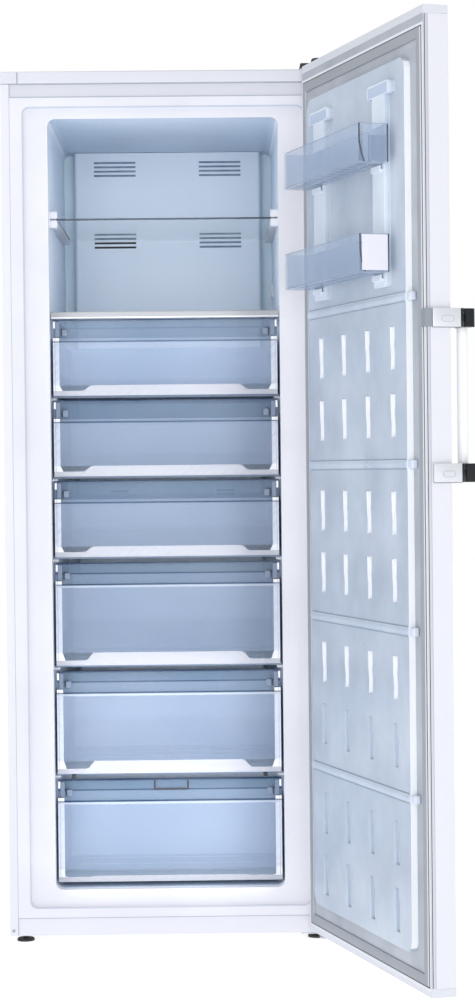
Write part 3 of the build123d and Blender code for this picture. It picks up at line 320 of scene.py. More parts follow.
def vary_colour(tree, shader, colour, spread, scale):
    """A colour that drifts a little over the piece, as mouldings and enamel do."""
    place = node(tree, "TexCoord")
    cloud = node(tree, "TexNoise", {"Scale": scale, "Detail": 3})
    ramp = node(tree, "ValToRGB")
    first, last = ramp.color_ramp.elements
    first.position, last.position = 0.3, 0.7
    first.color = (*[max(0, c - spread) for c in colour], 1)
    last.color = (*[min(1, c + spread) for c in colour], 1)
    tree.links.new(place.outputs["Object"], cloud.inputs["Vector"])
    tree.links.new(cloud.outputs["Fac"], ramp.inputs["Fac"])
    tree.links.new(ramp.outputs["Color"], shader.inputs["Base Color"])
    return place, ramp


def add_grain(tree, shader, place, scale, depth, stretch):
    """Fine relief in the surface: orange peel, moulding grain or brushing."""
    fit = node(tree, "Mapping", {"Scale": stretch})
    grain = node(tree, "TexNoise", {"Scale": scale, "Detail": 2})
    bump = node(tree, "Bump", {"Strength": 0.5, "Distance": depth})
    tree.links.new(place.outputs["Object"], fit.inputs["Vector"])
    tree.links.new(fit.outputs["Vector"], grain.inputs["Vector"])
    tree.links.new(grain.outputs["Fac"], bump.inputs["Height"])
    tree.links.new(bump.outputs["Normal"], shader.inputs["Normal"])


def vary_roughness(tree, shader, place, roughness):
    """Handling marks: patches that are a little duller or shinier."""
    patches = node(tree, "TexNoise", {"Scale": 9})
    spread = node(tree, "MapRange", {"To Min": roughness * 0.8, "To Max": roughness * 1.25})
    tree.links.new(place.outputs["Object"], patches.inputs["Vector"])
    tree.links.new(patches.outputs["Fac"], spread.inputs["Value"])
    tree.links.new(spread.outputs["Result"], shader.inputs["Roughness"])


def surface(name, colour, roughness, spread=0.012, scale=4, grain=(500, 0.00005), metal=0.0, alpha=1.0,
            stretch=(1, 1, 1)):
    """One finish: colour drift, fine relief and uneven gloss."""
    material, tree, shader = blank_material(name)
    place, _ = vary_colour(tree, shader, colour, spread, scale)
    add_grain(tree, shader, place, *grain, stretch)
    vary_roughness(tree, shader, place, roughness)
    shader.inputs["Metallic"].default_value = metal
    shader.inputs["Alpha"].default_value = alpha
    return material


def along(tree, place, axis, start, end, on_door=False, clamp=True):
    """A value from 0 to 1 between two places on one axis, the cabinet's or the open door's own."""
    split = node(tree, "SeparateXYZ")
    span = node(tree, "MapRange", {"From Min": start, "From Max": end}, clamp=clamp)
    source = place.outputs["Object"]
    if on_door:
        turn = node(tree, "Mapping", vector_type="TEXTURE")
        turn.inputs["Location"].default_value = door_pivot
        turn.inputs["Rotation"].default_value = (0, 0, door_turn)
        tree.links.new(source, turn.inputs["Vector"])
        source = turn.outputs["Vector"]
    tree.links.new(source, split.inputs["Vector"])
    tree.links.new(split.outputs[axis], span.inputs["Value"])
    return span.outputs["Result"]


def paint_light_by_facing(material, axis, colour, door_reach=None):
    """Painted light and shade: a second colour on the faces that look down an axis, on the door no farther
    out than a reach.
    """
    tree = material.node_tree
    shader = tree.nodes["Principled BSDF"]
    place = next(each for each in tree.nodes if each.bl_idname == "ShaderNodeTexCoord")
    first = shader.inputs["Base Color"].links[0].from_socket
    split = node(tree, "SeparateXYZ")
    facing = node(tree, "Math", {1: -0.7}, operation="LESS_THAN")
    mix = node(tree, "Mix", {"B": (*colour, 1)}, data_type="RGBA")
    tree.links.new(place.outputs["Normal"], split.inputs["Vector"])
    tree.links.new(split.outputs[axis], facing.inputs[0])
    share = facing.outputs[0]
    if door_reach:
        within = node(tree, "Math", {1: 1.0}, operation="LESS_THAN")
        both = node(tree, "Math", operation="MULTIPLY")
        reach = along(tree, place, "Y", 0.0, door_reach, on_door=True, clamp=False)
        tree.links.new(reach, within.inputs[0])
        tree.links.new(share, both.inputs[0])
        tree.links.new(within.outputs[0], both.inputs[1])
        share = both.outputs[0]
    tree.links.new(share, mix.inputs["Factor"])
    tree.links.new(first, mix.inputs["A"])
    tree.links.new(mix.outputs["Result"], shader.inputs["Base Color"])


def glass_plate(name, face_colour, edge_colour, face_alpha=0.10, edge_alpha=0.85):
    """Clear sheet lying flat, whose upright edges have their own colour and clearness."""
    material, tree, shader = blank_material(name)
    place, ramp = vary_colour(tree, shader, face_colour, 0.01, 5)
    split = node(tree, "SeparateXYZ")
    side = node(tree, "Math", operation="ABSOLUTE")
    upright = node(tree, "Math", {1: 0.7}, operation="LESS_THAN")
    mix = node(tree, "Mix", {"B": (*edge_colour, 1)}, data_type="RGBA")
    dense = node(tree, "MapRange", {"To Min": face_alpha, "To Max": edge_alpha})
    tree.links.new(place.outputs["Normal"], split.inputs["Vector"])
    tree.links.new(split.outputs["Z"], side.inputs[0])
    tree.links.new(side.outputs[0], upright.inputs[0])
    tree.links.new(upright.outputs[0], mix.inputs["Factor"])
    tree.links.new(ramp.outputs["Color"], mix.inputs["A"])
    tree.links.new(mix.outputs["Result"], shader.inputs["Base Color"])
    tree.links.new(upright.outputs[0], dense.inputs["Value"])
    tree.links.new(dense.outputs["Result"], shader.inputs["Alpha"])
    shader.inputs["Roughness"].default_value = 0.12
    shader.inputs["Specular IOR Level"].default_value = 0.15
    return material


def fill_ramp(ramp, stops):
    """Sets a ramp's stops: pairs of place and grey level or colour."""
    bar = ramp.color_ramp
    while len(bar.elements) < len(stops):
        bar.elements.new(0.5)
    for element, (place, tone) in zip(bar.elements, stops):
        element.position = place
        element.color = (*tone, 1) if isinstance(tone, tuple) else (tone, tone, tone, 1)


def zoned(name, axis, start, end, colours, roughness, alphas=None, tint=0.02, scale=4,
          grain=(500, 0.00005), on_door=False, shine=0.5):
    """A moulding whose colour, and clearness if given, changes along one axis, for its own tones and for
    painted light and shade.
    """
    material, tree, shader = blank_material(name)
    place, drift = vary_colour(tree, shader, (0.5, 0.5, 0.5), tint, scale)
    level = along(tree, place, axis, start, end, on_door)
    ramp = node(tree, "ValToRGB")
    fill_ramp(ramp, colours)
    blend = node(tree, "Mix", {"Factor": 1.0}, data_type="RGBA", blend_type="LINEAR_LIGHT")
    tree.links.new(level, ramp.inputs["Fac"])
    tree.links.new(ramp.outputs["Color"], blend.inputs["A"])
    tree.links.new(drift.outputs["Color"], blend.inputs["B"])
    tree.links.new(blend.outputs["Result"], shader.inputs["Base Color"])
    shader.inputs["Specular IOR Level"].default_value = shine
    add_grain(tree, shader, place, *grain, (1, 1, 1))
    vary_roughness(tree, shader, place, roughness)
    if alphas:
        clear = node(tree, "ValToRGB")
        fill_ramp(clear, alphas)
        tree.links.new(level, clear.inputs["Fac"])
        tree.links.new(clear.outputs["Color"], shader.inputs["Alpha"])
    return material


set_camera()
light_studio()
lay_floor()

# painted and moulded outside
enamel = surface("white_enamel", (0.735, 0.735, 0.79), 0.30, spread=0.002, grain=(900, 0.000004))
moulded_white = surface("moulded_white", (0.68, 0.69, 0.74), 0.35, grain=(500, 0.00001))
recess_white = surface("recess_white", (0.63, 0.64, 0.70), 0.35, grain=(500, 0.00001))
groove_shadow = surface("seam_shadow", (0.10, 0.11, 0.13), 0.8)
seam_shade_soft = surface("seam_shade_soft", (0.40, 0.44, 0.52), 0.6)

# the tank: white at its mouth, blue-white within, a painted change of light at the mouth's edge; painted
# shade on the faces that look down
tank_mouth, tank_wall = (0.75, 0.75, 0.80), (0.82, 0.90, 1.0)
tank_plastic = zoned(
    "tank_plastic", "Y", front_y, 0.270,
    [
        (0, tank_mouth), (0.022, tank_mouth), (0.05, tank_wall), (0.90, tank_wall),
        (0.95, (0.80, 0.91, 1.0)), (1, (0.76, 0.90, 1.0)),
    ],
    0.42, grain=(250, 0.00006),
)
paint_light_by_facing(tank_plastic, "Z", (0.58, 0.68, 0.82))
cover_plastic = surface("cover_plastic", (0.70, 0.79, 0.89), 0.40, grain=(700, 0.00005))
slot_shadow = surface("slot_shadow", (0.20, 0.27, 0.36), 0.7, spread=0.06, scale=30)
seat_shade = surface("seat_shade", (0.54, 0.58, 0.67), 0.5)

# the door's inner face, from the flat margin up over the raised middle and the ridges to the columns, with
# painted shade that is darkest on the low margin and lightens as the face rises, and a painted highlight on
# the sides that face front
door_plastic = zoned(
    "door_inner_plastic", "Y", 0.020, 0.060,
    [
        (0, (0.40, 0.43, 0.48)), (0.26, (0.40, 0.43, 0.48)), (0.29, (0.46, 0.52, 0.60)),
        (0.56, (0.50, 0.56, 0.65)), (0.59, (0.54, 0.61, 0.70)), (0.67, (0.58, 0.65, 0.75)),
        (0.72, (0.60, 0.67, 0.78)), (0.90, (0.76, 0.82, 0.90)),
    ],
    0.30, tint=0.035, scale=7, grain=(60, 0.0006), on_door=True,
)
paint_light_by_facing(door_plastic, "Y", (0.92, 0.94, 0.96), door_reach=0.0436)
seal_rubber = surface("seal_rubber", (0.34, 0.36, 0.39), 0.6, grain=(900, 0.0001))
# a painted highlight on the seal's sides that face front
paint_light_by_facing(seal_rubber, "Y", (0.74, 0.76, 0.80))
seal_lip = surface("seal_lip", (0.78, 0.79, 0.82), 0.5)
edge_grey = surface("edge_grey", (0.58, 0.60, 0.64), 0.5)
ridge_shadow = surface("ridge_shadow", (0.34, 0.41, 0.52), 0.5)
ridge_light = surface("ridge_light", (0.66, 0.72, 0.82), 0.4)
dimple_without_highlight = surface("dimple_without_highlight", (0.56, 0.63, 0.73), 0.4)
dimple_highlight = surface("dimple_highlight", (0.92, 0.92, 0.97), 0.4)
column_shade = surface("column_shade", (0.50, 0.59, 0.74), 0.4)
basket_clear = glass_plate("basket_clear", (0.44, 0.52, 0.62), (0.46, 0.56, 0.72), 0.62, 0.32)
basket_edge = surface("basket_edge", (0.035, 0.05, 0.08), 0.15)
painted_highlight_white = surface("painted_highlight_white", (0.80, 0.79, 0.86), 0.4)
pocket_blue = surface("pocket_blue", (0.22, 0.31, 0.50), 0.2, alpha=0.42)

# drawers and shelves
box_plastic = surface("box_plastic", (0.58, 0.70, 0.87), 0.35, spread=0.03, alpha=0.86,
                      grain=(120, 0.000015))
frame_white = surface("frame_white", (0.46, 0.46, 0.50), 0.45, grain=(300, 0.00001))
frame_painted_light = surface("frame_painted_light", (0.84, 0.83, 0.84), 0.45, grain=(300, 0.00001))
frame_line = surface("frame_line", (0.42, 0.44, 0.52), 0.5)
clip_clear = surface("clip_plate", (0.22, 0.28, 0.40), 0.3, alpha=0.6)
clip_white = surface("clip_white", (0.84, 0.85, 0.90), 0.4)
glass_edge, glass_face = (0.012, 0.03, 0.06), (0.72, 0.84, 0.94)
upper_glass = zoned(
    "upper_glass", "Y", -0.285, 0.200,
    [(0, glass_edge), (0.004, glass_edge), (0.008, glass_face), (1, glass_face)],
    0.06, [(0, 0.97), (0.004, 0.97), (0.008, 0.12), (1, 0.12)], grain=(60, 0.00001),
)
shelf_glass = glass_plate("shelf_glass", (0.70, 0.82, 0.90), (0.26, 0.34, 0.48))
trim_plastic = surface("trim_plastic", (0.33, 0.34, 0.36), 0.35, grain=(300, 0.00001))

# handle and fittings
bar_white = surface("bar_white", (0.94, 0.94, 0.95), 0.3)
bright_metal = surface("bright_metal", (0.68, 0.69, 0.72), 0.30, metal=0.15, grain=(1500, 0.00002),
                       stretch=(1, 1, 0.05))
black_gloss = surface("black_gloss", (0.012, 0.014, 0.016), 0.08)
black_moulded = surface("black_moulded", (0.02, 0.02, 0.022), 0.5)
pusher_grey = surface("pusher_grey", (0.27, 0.30, 0.33), 0.5)
grey_moulded = surface("grey_moulded", (0.34, 0.37, 0.42), 0.35)
plug_plastic = surface("plug_plastic", (0.62, 0.63, 0.66), 0.3)

# machine compartment, evaporator and foam
zinc_sheet = surface("zinc_sheet", (0.52, 0.53, 0.55), 0.35, spread=0.05, scale=60, metal=0.9)
fin_aluminium = surface("fin_aluminium", (0.75, 0.76, 0.78), 0.3, metal=0.9)
pump_enamel = surface("pump_enamel", (0.015, 0.015, 0.017), 0.3)
copper_tube = surface("copper_tube", (0.60, 0.28, 0.16), 0.3, metal=0.9, spread=0.05, scale=40)
black_rubber = surface("black_rubber", (0.02, 0.02, 0.02), 0.7, grain=(600, 0.0002))
board_green = surface("board_green", (0.03, 0.16, 0.06), 0.4)
foam = surface("foam", (0.70, 0.62, 0.35), 0.9, grain=(300, 0.0006))

# the clear fronts: (share of the height from the bottom, colour) and how solid the wall looks there; the
# darker bands above the step are painted shade, and the large fronts' pale band under the step's rim is a
# painted highlight
below_sill, wall_low, wall_high = (0.66, 0.80, 1.0), (0.50, 0.62, 0.84), (0.52, 0.64, 0.86)
rim_line, top_line = (0.05, 0.09, 0.17), (0.02, 0.04, 0.09)
window_colours = {
    "small": [
        (0, below_sill), (0.134, below_sill), (0.138, wall_low), (0.699, wall_high),
        (0.703, rim_line), (0.716, rim_line), (0.72, (0.34, 0.44, 0.60)), (0.745, (0.34, 0.44, 0.60)),
        (0.76, (0.18, 0.26, 0.38)), (0.984, (0.18, 0.26, 0.38)), (0.987, top_line), (1, top_line),
    ],
    "large": [
        (0, below_sill), (0.121, below_sill), (0.125, wall_low), (0.756, wall_high),
        (0.760, (0.66, 0.74, 0.88)), (0.777, (0.66, 0.74, 0.88)), (0.780, rim_line), (0.790, rim_line),
        (0.793, (0.31, 0.41, 0.56)), (0.885, (0.27, 0.37, 0.52)), (0.888, (0.03, 0.06, 0.13)),
        (0.897, (0.03, 0.06, 0.13)), (0.900, (0.17, 0.25, 0.36)), (0.986, (0.17, 0.25, 0.36)),
        (0.989, top_line), (1, top_line),
    ],
}
window_walls = {
    "small": [
        (0, 0.08), (0.134, 0.08), (0.138, 0.20), (0.694, 0.24), (0.700, 0.34), (0.703, 0.80),
        (0.716, 0.80), (0.72, 0.45), (0.745, 0.45), (0.76, 0.44), (0.984, 0.44), (0.987, 0.92), (1, 0.92),
    ],
    "large": [
        (0, 0.08), (0.121, 0.08), (0.125, 0.19), (0.756, 0.22), (0.760, 0.40), (0.777, 0.40),
        (0.780, 0.80), (0.790, 0.80), (0.793, 0.34), (0.885, 0.34), (0.888, 0.62), (0.897, 0.62),
        (0.900, 0.44), (0.986, 0.44), (0.989, 0.92), (1, 0.92),
    ],
}


# ---------------------------------------------------------------- drawers
def make_frame(number, tongue_rise):
    """The white U behind a clear front: bars that widen downwards, a sill and a raised tongue."""
    floor, height = drawer_floors[number], drawer_heights[number]
    low, high, sill, tongue = floor - 0.0003, floor + height - 0.040, floor + 0.0105, floor + tongue_rise
    line_out, line_in, bar_edge = 0.2408, 0.2398, 0.231
    tongue_foot, tongue_top = 0.178, 0.164
    # a bar's front outside this carries painted light, brighter than the rest of the same white moulding
    painted_light_from = 0.2265  # outside this a bar's front is bright
    piece = start_sheet(f"drawer_frame_{number}", (-0.2445, low), (0.2445, high), frame_y)
    cuts = (line_out, line_in, bar_edge, tongue_foot, tongue_top)
    cut_across(piece, 0, [side * x for side in (-1, 1) for x in cuts])
    cut_across(piece, 2, [sill, tongue])
    drop_faces(piece, lambda face: abs(centre_of(face).x) < bar_edge and centre_of(face).z > tongue)
    drop_faces(
        piece,
        lambda face: tongue_foot < abs(centre_of(face).x) < bar_edge and centre_of(face).z > sill,
    )
    for side in (-1, 1):
        # the tongue's ends slope, and the bars' inner edges lean inwards towards the sill
        shift_picked(
            piece,
            lambda corner: abs(corner.co.x - side * tongue_foot) < hair and abs(corner.co.z - tongue) < hair,
            (0, 0, sill - tongue),
        )
        shift_picked(
            piece,
            lambda corner: abs(corner.co.x - side * bar_edge) < hair and corner.co.z < sill + hair,
            (-side * 0.006, 0, 0),
        )
    open_mesh(piece)
    bpy.ops.mesh.remove_doubles(threshold=0.0002)
    rest()
    round_picked(
        piece, "VERT",
        lambda corner: (abs(abs(corner.co.x) - tongue_top) < hair and abs(corner.co.z - tongue) < hair)
        or (abs(abs(corner.co.x) - tongue_foot) < hair and abs(corner.co.z - sill) < hair),
        0.005, 3,
    )
    work(piece, "SOLIDIFY", thickness=0.0025, offset=-1)
    for finish in (frame_white, frame_line, frame_painted_light):
        piece.data.materials.append(finish)
    # the bars' fronts take the painted light
    paint(piece, 2, lambda face: abs(centre_of(face).x) > painted_light_from and centre_of(face).z > sill)
    paint(
        piece, 1,
        lambda face: line_in - hair < abs(centre_of(face).x) < line_out + hair and centre_of(face).z > sill,
    )
    return piece


def make_box(number, wall_drop):
    """The frosted box behind the frame: sides that step down at the front, a back wall and a floor."""
    floor, back = drawer_floors[number], drawer_backs[number]
    low, high = floor - 0.0003, floor + drawer_heights[number] - wall_drop
    piece = start_block(f"drawer_box_{number}", (-0.239, -0.2944, low), (0.239, back, high))
    cut_across(piece, 1, [-0.235])
    shift_picked(
        piece, lambda corner: corner.co.y < -0.290 and corner.co.z > high - near, (0, 0, -0.004)
    )
    round_picked(
        piece, "EDGE",
        lambda edge: centre_of(edge).y > back - near
        and abs(edge.verts[0].co.z - edge.verts[1].co.z) > 0.05,
        0.012, 3,
    )
    drop_faces(piece, lambda face: face.normal.z > 0.7 or face.normal.y < -0.7)
    # the open rim is folded outwards into a lip
    pick(
        piece, "EDGE",
        lambda edge: edge.is_boundary and centre_of(edge).z > low + 0.01 and centre_of(edge).y > -0.29,
    )
    bpy.ops.mesh.extrude_region_move(TRANSFORM_OT_translate={"value": (0, 0, 0.0001)})
    bpy.ops.transform.resize(value=(1.012, 1.0, 1.0), center_override=(0, 0, high))
    rest()
    work(piece, "SOLIDIFY", thickness=0.0022, offset=-1)
    return piece


def make_ribs(number):
    """Low ribs that cross on a box's floor."""
    low, high = drawer_floors[number] + 0.0022, drawer_floors[number] + 0.0042
    start, end = -0.275, drawer_backs[number] - 0.047
    pitch_deep, pitch_across, thick = 0.085, 0.09, 0.003
    piece = start_block(f"drawer_ribs_{number}", (-0.21, end - thick, low), (0.21, end, high))
    across = int((end - start) / pitch_deep)
    ribs = [((0, end - step * pitch_deep, low), (0.42, thick)) for step in range(1, across + 1)]
    ribs += [
        ((step * pitch_across, (start + end) / 2, low + 0.0002), (thick, end - start))
        for step in range(-2, 3)
    ]
    for (x, y, z), size in ribs:
        open_mesh(piece, "DESELECT")
        middle = (x, y, z + (high - low) / 2)
        bpy.ops.mesh.primitive_cube_add(size=1, location=middle, scale=(*size, high - low))
        bpy.ops.object.mode_set(mode="OBJECT")
    round_edges(piece, 0.0006, 1)
    return piece


# drawers 2 and 3 repeat the first, and drawer 5 repeats the fourth
frames = {1: make_frame(1, 0.0225), 4: make_frame(4, 0.0275)}
boxes = {1: make_box(1, 0.041), 4: make_box(4, 0.046)}
for number, model in ((2, 1), (3, 1), (5, 4)):
    rise = drawer_floors[number] - drawer_floors[model]
    frames[number] = copy_of(frames[model], f"drawer_frame_{number}", rise)
    boxes[number] = copy_of(boxes[model], f"drawer_box_{number}", rise)
frames[6] = make_frame(6, 0.0125)
boxes[6] = make_box(6, 0.050)

# the foot of each box's walls carries painted shade, deepest in the upper drawers and palest in the lowest
deep_foot_shade, mid_foot_shade, pale_foot_shade = (0.32, 0.40, 0.53), (0.40, 0.50, 0.65), (0.54, 0.65, 0.80)
box_foot_shades = {1: deep_foot_shade, 2: deep_foot_shade, 3: deep_foot_shade, 4: mid_foot_shade, 5: mid_foot_shade, 6: pale_foot_shade}
for number, floor in drawer_floors.items():
    body, foot = f"drawer_{number}", box_foot_shades[number]
    dress(frames[number], frame_white, body, "white_plastic")
    shaded_box = zoned(
        f"frosted_box_{number}", "Z", floor, floor + drawer_heights[number],
        [(0, foot), (0.27, foot), (0.36, (0.51, 0.62, 0.78)), (1, (0.50, 0.61, 0.76))],
        0.45, [(0, 0.9), (1, 0.86)], grain=(120, 0.000006), shine=0.12,
    )
    dress(boxes[number], shaded_box, body, "frosted_plastic", f"drawer_tub_{number}")
    dress(make_ribs(number), shaded_box, body, "frosted_plastic")

# on each side above the frame a small white clip, its plate and foot, and a dark catch:
# the part's name, its inner and outer x, its foot and head from the drawer's top, finish and slot
clip_parts = (
    ("clip", 0.2398, 0.2440, -0.0190, -0.0040, clip_white, "white_plastic"),
    ("clip_plate", 0.2300, 0.2392, -0.0385, -0.0050, clip_clear, "clear_plastic"),
    ("clip_foot", 0.2310, 0.2390, -0.0398, -0.0380, black_moulded, "black_plastic"),
    ("catch", 0.2252, 0.2270, -0.0370, -0.0215, black_moulded, "black_plastic"),
    ("catch_arm", 0.2190, 0.2268, -0.0214, -0.0205, black_moulded, "black_plastic"),
    ("catch_plate", 0.2130, 0.2246, -0.0360, -0.0220, clip_clear, "clear_plastic"),
)


def mark_sill(number, side, name):
    """Three short grey marks along the sill, on one side of the tongue."""
    floor = drawer_floors[number]
    ends = sorted((side * 0.1480, side * 0.2300))
    piece = start_block(
        f"sill_mark_{name}_{number}",
        (ends[0], frame_y - 0.0006, floor + 0.0004), (ends[1], frame_y + 0.001, floor + 0.0026),
    )
    gaps = ((0.170, 0.186), (0.200, 0.212))
    cut_across(piece, 0, [side * x for x in (0.158, *gaps[0], *gaps[1])])
    drop_faces(piece, lambda face: any(start < abs(centre_of(face).x) < end for start, end in gaps))
    open_mesh(piece)
    bpy.ops.mesh.fill_holes(sides=4)
    rest()
    dress(piece, frame_line, f"drawer_{number}", "white_plastic")


for number in drawer_floors:
    top = drawer_floors[number] + drawer_heights[number]
    for side, name in sides:
        for part, inner, outer, foot, head, finish, slot in clip_parts:
            ends = sorted((side * inner, side * outer))
            add_block(
                f"{part}_{name}_{number}",
                (ends[0], frame_y, top + foot), (ends[1], frame_y + 0.004, top + head),
                0.0004, finish, f"drawer_{number}", slot, segments=1,
            )
        mark_sill(number, side, name)

# the lowest drawer's finger mark, a dark U open at the top, and the two dark stops above its corners
top = drawer_floors[6] + drawer_heights[6]
mark_left, mark_right, mark_foot = -0.0315, 0.0375, top - 0.0215
mark = start_block("finger_mark", (-0.0350, -0.2936, top - 0.0250), (0.0410, -0.2916, top - 0.0015))
cut_across(mark, 0, [mark_left, mark_right])
cut_across(mark, 2, [mark_foot, top - 0.0050])
drop_faces(
    mark,
    lambda face: mark_left < centre_of(face).x < mark_right
    and centre_of(face).z > mark_foot and abs(face.normal.y) > 0.5,
)
drop_faces(
    mark, lambda face: mark_left < centre_of(face).x < mark_right and centre_of(face).z > top - 0.0020
)
round_edges(mark, 0.0006, 1)
dress(mark, black_moulded, "drawer_6", "black_plastic")
for side, name in sides:
    ends = sorted((side * 0.2050, side * 0.2145))
    add_block(
        f"stop_{name}", (ends[0], -0.2935, top + 0.0022), (ends[1], -0.2850, top + 0.0105),
        0.0008, black_moulded, "cabinet", "black_plastic",
    )


# ---------------------------------------------------------------- door seal and edge
def add_ring(name, low, high, width, height, soft, finish, *nodes):
    """A flat frame laid on the door's inner face, with its upper edges softened."""
    piece = start_sheet(name, low, high, door_margin, facing=1)
    open_mesh(piece)
    bpy.ops.mesh.inset(thickness=width, depth=0)
    rest()
    x, z = (low[0] + high[0]) / 2, (low[1] + high[1]) / 2
    drop_faces(
        piece, lambda face: abs(centre_of(face).x - x) < 0.05 and abs(centre_of(face).z - z) < 0.05
    )
    work(piece, "SOLIDIFY", thickness=height, offset=1)
    round_edges(piece, soft, 3)
    dress(hang_on_door(piece), finish, "door", "gasket_rubber", *nodes)


def add_edge_strip(name, y_low, y_high, proud, finish):
    """A narrow strip up the whole free edge of the door."""
    add_door_block(
        name, (door_free - proud, y_low, 0.046), (door_free + 0.001, y_high, 1.872),
        min(0.0004, proud * 0.6), finish, "gasket_rubber",
    )


add_ring("seal_band", (-0.6742, 0.0480), (0.0042, 1.8495), 0.0200, 0.0030, 0.0012, seal_rubber, "door_gasket")
# a dark ring of painted shade in the groove round the seal
add_ring("seal_groove", (-0.6782, 0.0440), (0.0082, 1.8535), 0.0038, 0.0006, 0.0002, groove_shadow)
add_ring("seal_outer_lip", (-0.6840, 0.0400), (0.0132, 1.8570), 0.0050, 0.0012, 0.0004, seal_lip)
# up the free edge, two grooves of painted shade beside a grey band
add_edge_strip("edge_groove_outer", 0.0206, 0.0216, 0.0001, seam_shade_soft)
add_edge_strip("edge_band", 0.0216, 0.0266, 0.0002, edge_grey)
add_edge_strip("edge_groove_inner", 0.0266, 0.0284, 0.0003, groove_shadow)


# ---------------------------------------------------------------- handle
def add_pill(name, low, high, soft, finish, slot):
    """A thin block on the bracket's side, its four corners rounded into a pill."""
    piece = start_block(name, low, high)
    round_picked(
        piece, "EDGE", lambda edge: abs(edge.verts[0].co.x - edge.verts[1].co.x) > 0.0003, soft, 5
    )
    dress(hang_on_door(piece), finish, "door", slot)


for level, name in zip(handle_levels, ("upper", "lower")):
    # a bright cap over the bracket's side, a dark rim of painted shadow round its edges, and a dark gloss tip
    # of painted shade where the bracket's rounded end meets the arm
    add_door_block(
        f"bracket_shadow_line_{name}", (-0.6922, -0.0378, level - 0.0186), (-0.6914, 0.0194, level + 0.0180),
        0.0003, black_moulded, "black_plastic", segments=1,
    )
    add_door_block(
        f"bracket_cap_{name}", (-0.6930, -0.0378, level - 0.0176), (-0.6915, 0.0190, level + 0.0180),
        0.0005, bright_metal, "bright_metal",
    )
    add_door_block(
        f"bracket_end_shade_{name}", (-0.6930, -0.0436, level - 0.0176), (-0.6921, -0.0378, level + 0.0178),
        0.0003, black_gloss, "black_gloss",
    )
    # the plug in the bracket's screw hole: a dark line of painted shade round a bright face
    add_pill(
        f"plug_line_{name}", (-0.6934, -0.0242, level - 0.0080), (-0.6930, 0.0012, level + 0.0040),
        0.0058, seam_shade_soft, "grey_plastic",
    )
    add_pill(
        f"plug_face_{name}", (-0.6937, -0.0234, level - 0.0072), (-0.6931, 0.0004, level + 0.0032),
        0.0050, bright_metal, "bright_metal",
    )


# ---------------------------------------------------------------- the door's inner face
def door_row(piece, name, finish):
    """One modelled piece set out along the four ridges of the door's inner face."""
    copies = [copy_of(piece, f"{name}_{ridge}", (1 - ridge) * band_pitch) for ridge in (2, 3, 4)]
    for each in (piece, *copies):
        dress(hang_on_door(each), finish, "door", "door_liner_plastic")


# a dimple's hinge side leans over its floor, waisted in the middle, and the floor carries a painted
# highlight; low on the door both take a plain darker tone without the painted highlight
dimple_x = door_mid - 0.207
lean_x = dimple_x + 0.011
highlight_rows = 5
dimple_drops = [band * band_pitch + row * dimple_drop for band in range(4) for row in range(2)]
for name, inner, outer, y_low, y_high, waist, bright in (
    ("dimple_slopes", 0.010, 0.0150, 0.0372, 0.0431, -0.001, door_plastic),
    ("dimple_floors", -0.004, 0.0145, 0.0368, 0.0376, 0.007, dimple_highlight),
):
    piece = start_block(f"{name}_1", (dimple_x + inner, y_low, 1.2125), (dimple_x + outer, y_high, 1.2968))
    cut_across(piece, 2, [1.238, 1.262])
    shift_picked(piece, lambda corner: corner.co.x < lean_x and corner.co.z < 1.240, (-0.004, 0, 0))
    shift_picked(piece, lambda corner: corner.co.x < lean_x and 1.230 < corner.co.z < 1.270, (waist, 0, 0))
    work(
        piece, "ARRAY", count=4, use_relative_offset=False, use_constant_offset=True,
        constant_offset_displace=(dimple_step, 0, 0),
    )
    copies = [copy_of(piece, f"{name}_{row}", -drop) for row, drop in enumerate(dimple_drops[1:], 2)]
    for row, each in enumerate((piece, *copies), 1):
        finish = bright if row <= highlight_rows else dimple_without_highlight
        dress(hang_on_door(each), finish, "door", "door_liner_plastic")

# a line of painted shadow above and below each ridge, a painted glint along its top and a rounded end on the
# free side
for name, y, rise, finish in (
    ("ridge_line_upper", 0.0430, 0.0086, ridge_shadow), ("ridge_glint", 0.0444, 0.0062, ridge_light),
    ("ridge_line_lower", 0.0430, -0.0104, ridge_shadow),
):
    low = (-0.6120, y, top_ridge + rise)
    line = start_block(f"{name}_1", low, (-0.0580, y + 0.0008, top_ridge + rise + 0.0018))
    round_edges(line, 0.0003, 1)
    door_row(line, name, finish)
end = start_block("ridge_end_1", (-0.6400, door_margin, 1.3405), (-0.6160, 0.0425, 1.3575))
round_edges(end, 0.0035, 3)
door_row(end, "ridge_end", ridge_light)

# the shaded step in each column's broad head, where a basket's hook drops in
for side, name in ((-1, "free"), (1, "hinge")):
    x = door_mid + side * 0.175
    add_door_block(
        f"column_head_{name}", (x - 0.0520, 0.0559, 1.7440), (x + 0.0520, 0.0564, 1.7640),
        0.0002, column_shade, "door_liner_plastic", segments=1,
    )

# ---------------------------------------------------------------- baskets
# dark lines up the free end: the front corner, the back edge and the inner edge, with how high each goes
rib_places = ((-0.5680, 0.1142, 0.0742, "front"), (-0.5678, 0.0566, 0.0738, "back"),
              (-0.5640, 0.0930, 0.0520, "inner"))
# lines along the rim and the foot of the front, and along the rim of the end, with heights from the floor
rim_places = (
    ("long", (-0.5480, 0.1155, 0.0726), (-0.1220, 0.1165, 0.0740)),
    ("end", (-0.5681, 0.0590, 0.0728), (-0.5665, 0.1140, 0.0740)),
    ("foot", (-0.5480, 0.1155, 0.0006), (-0.1220, 0.1167, 0.0022)),
)
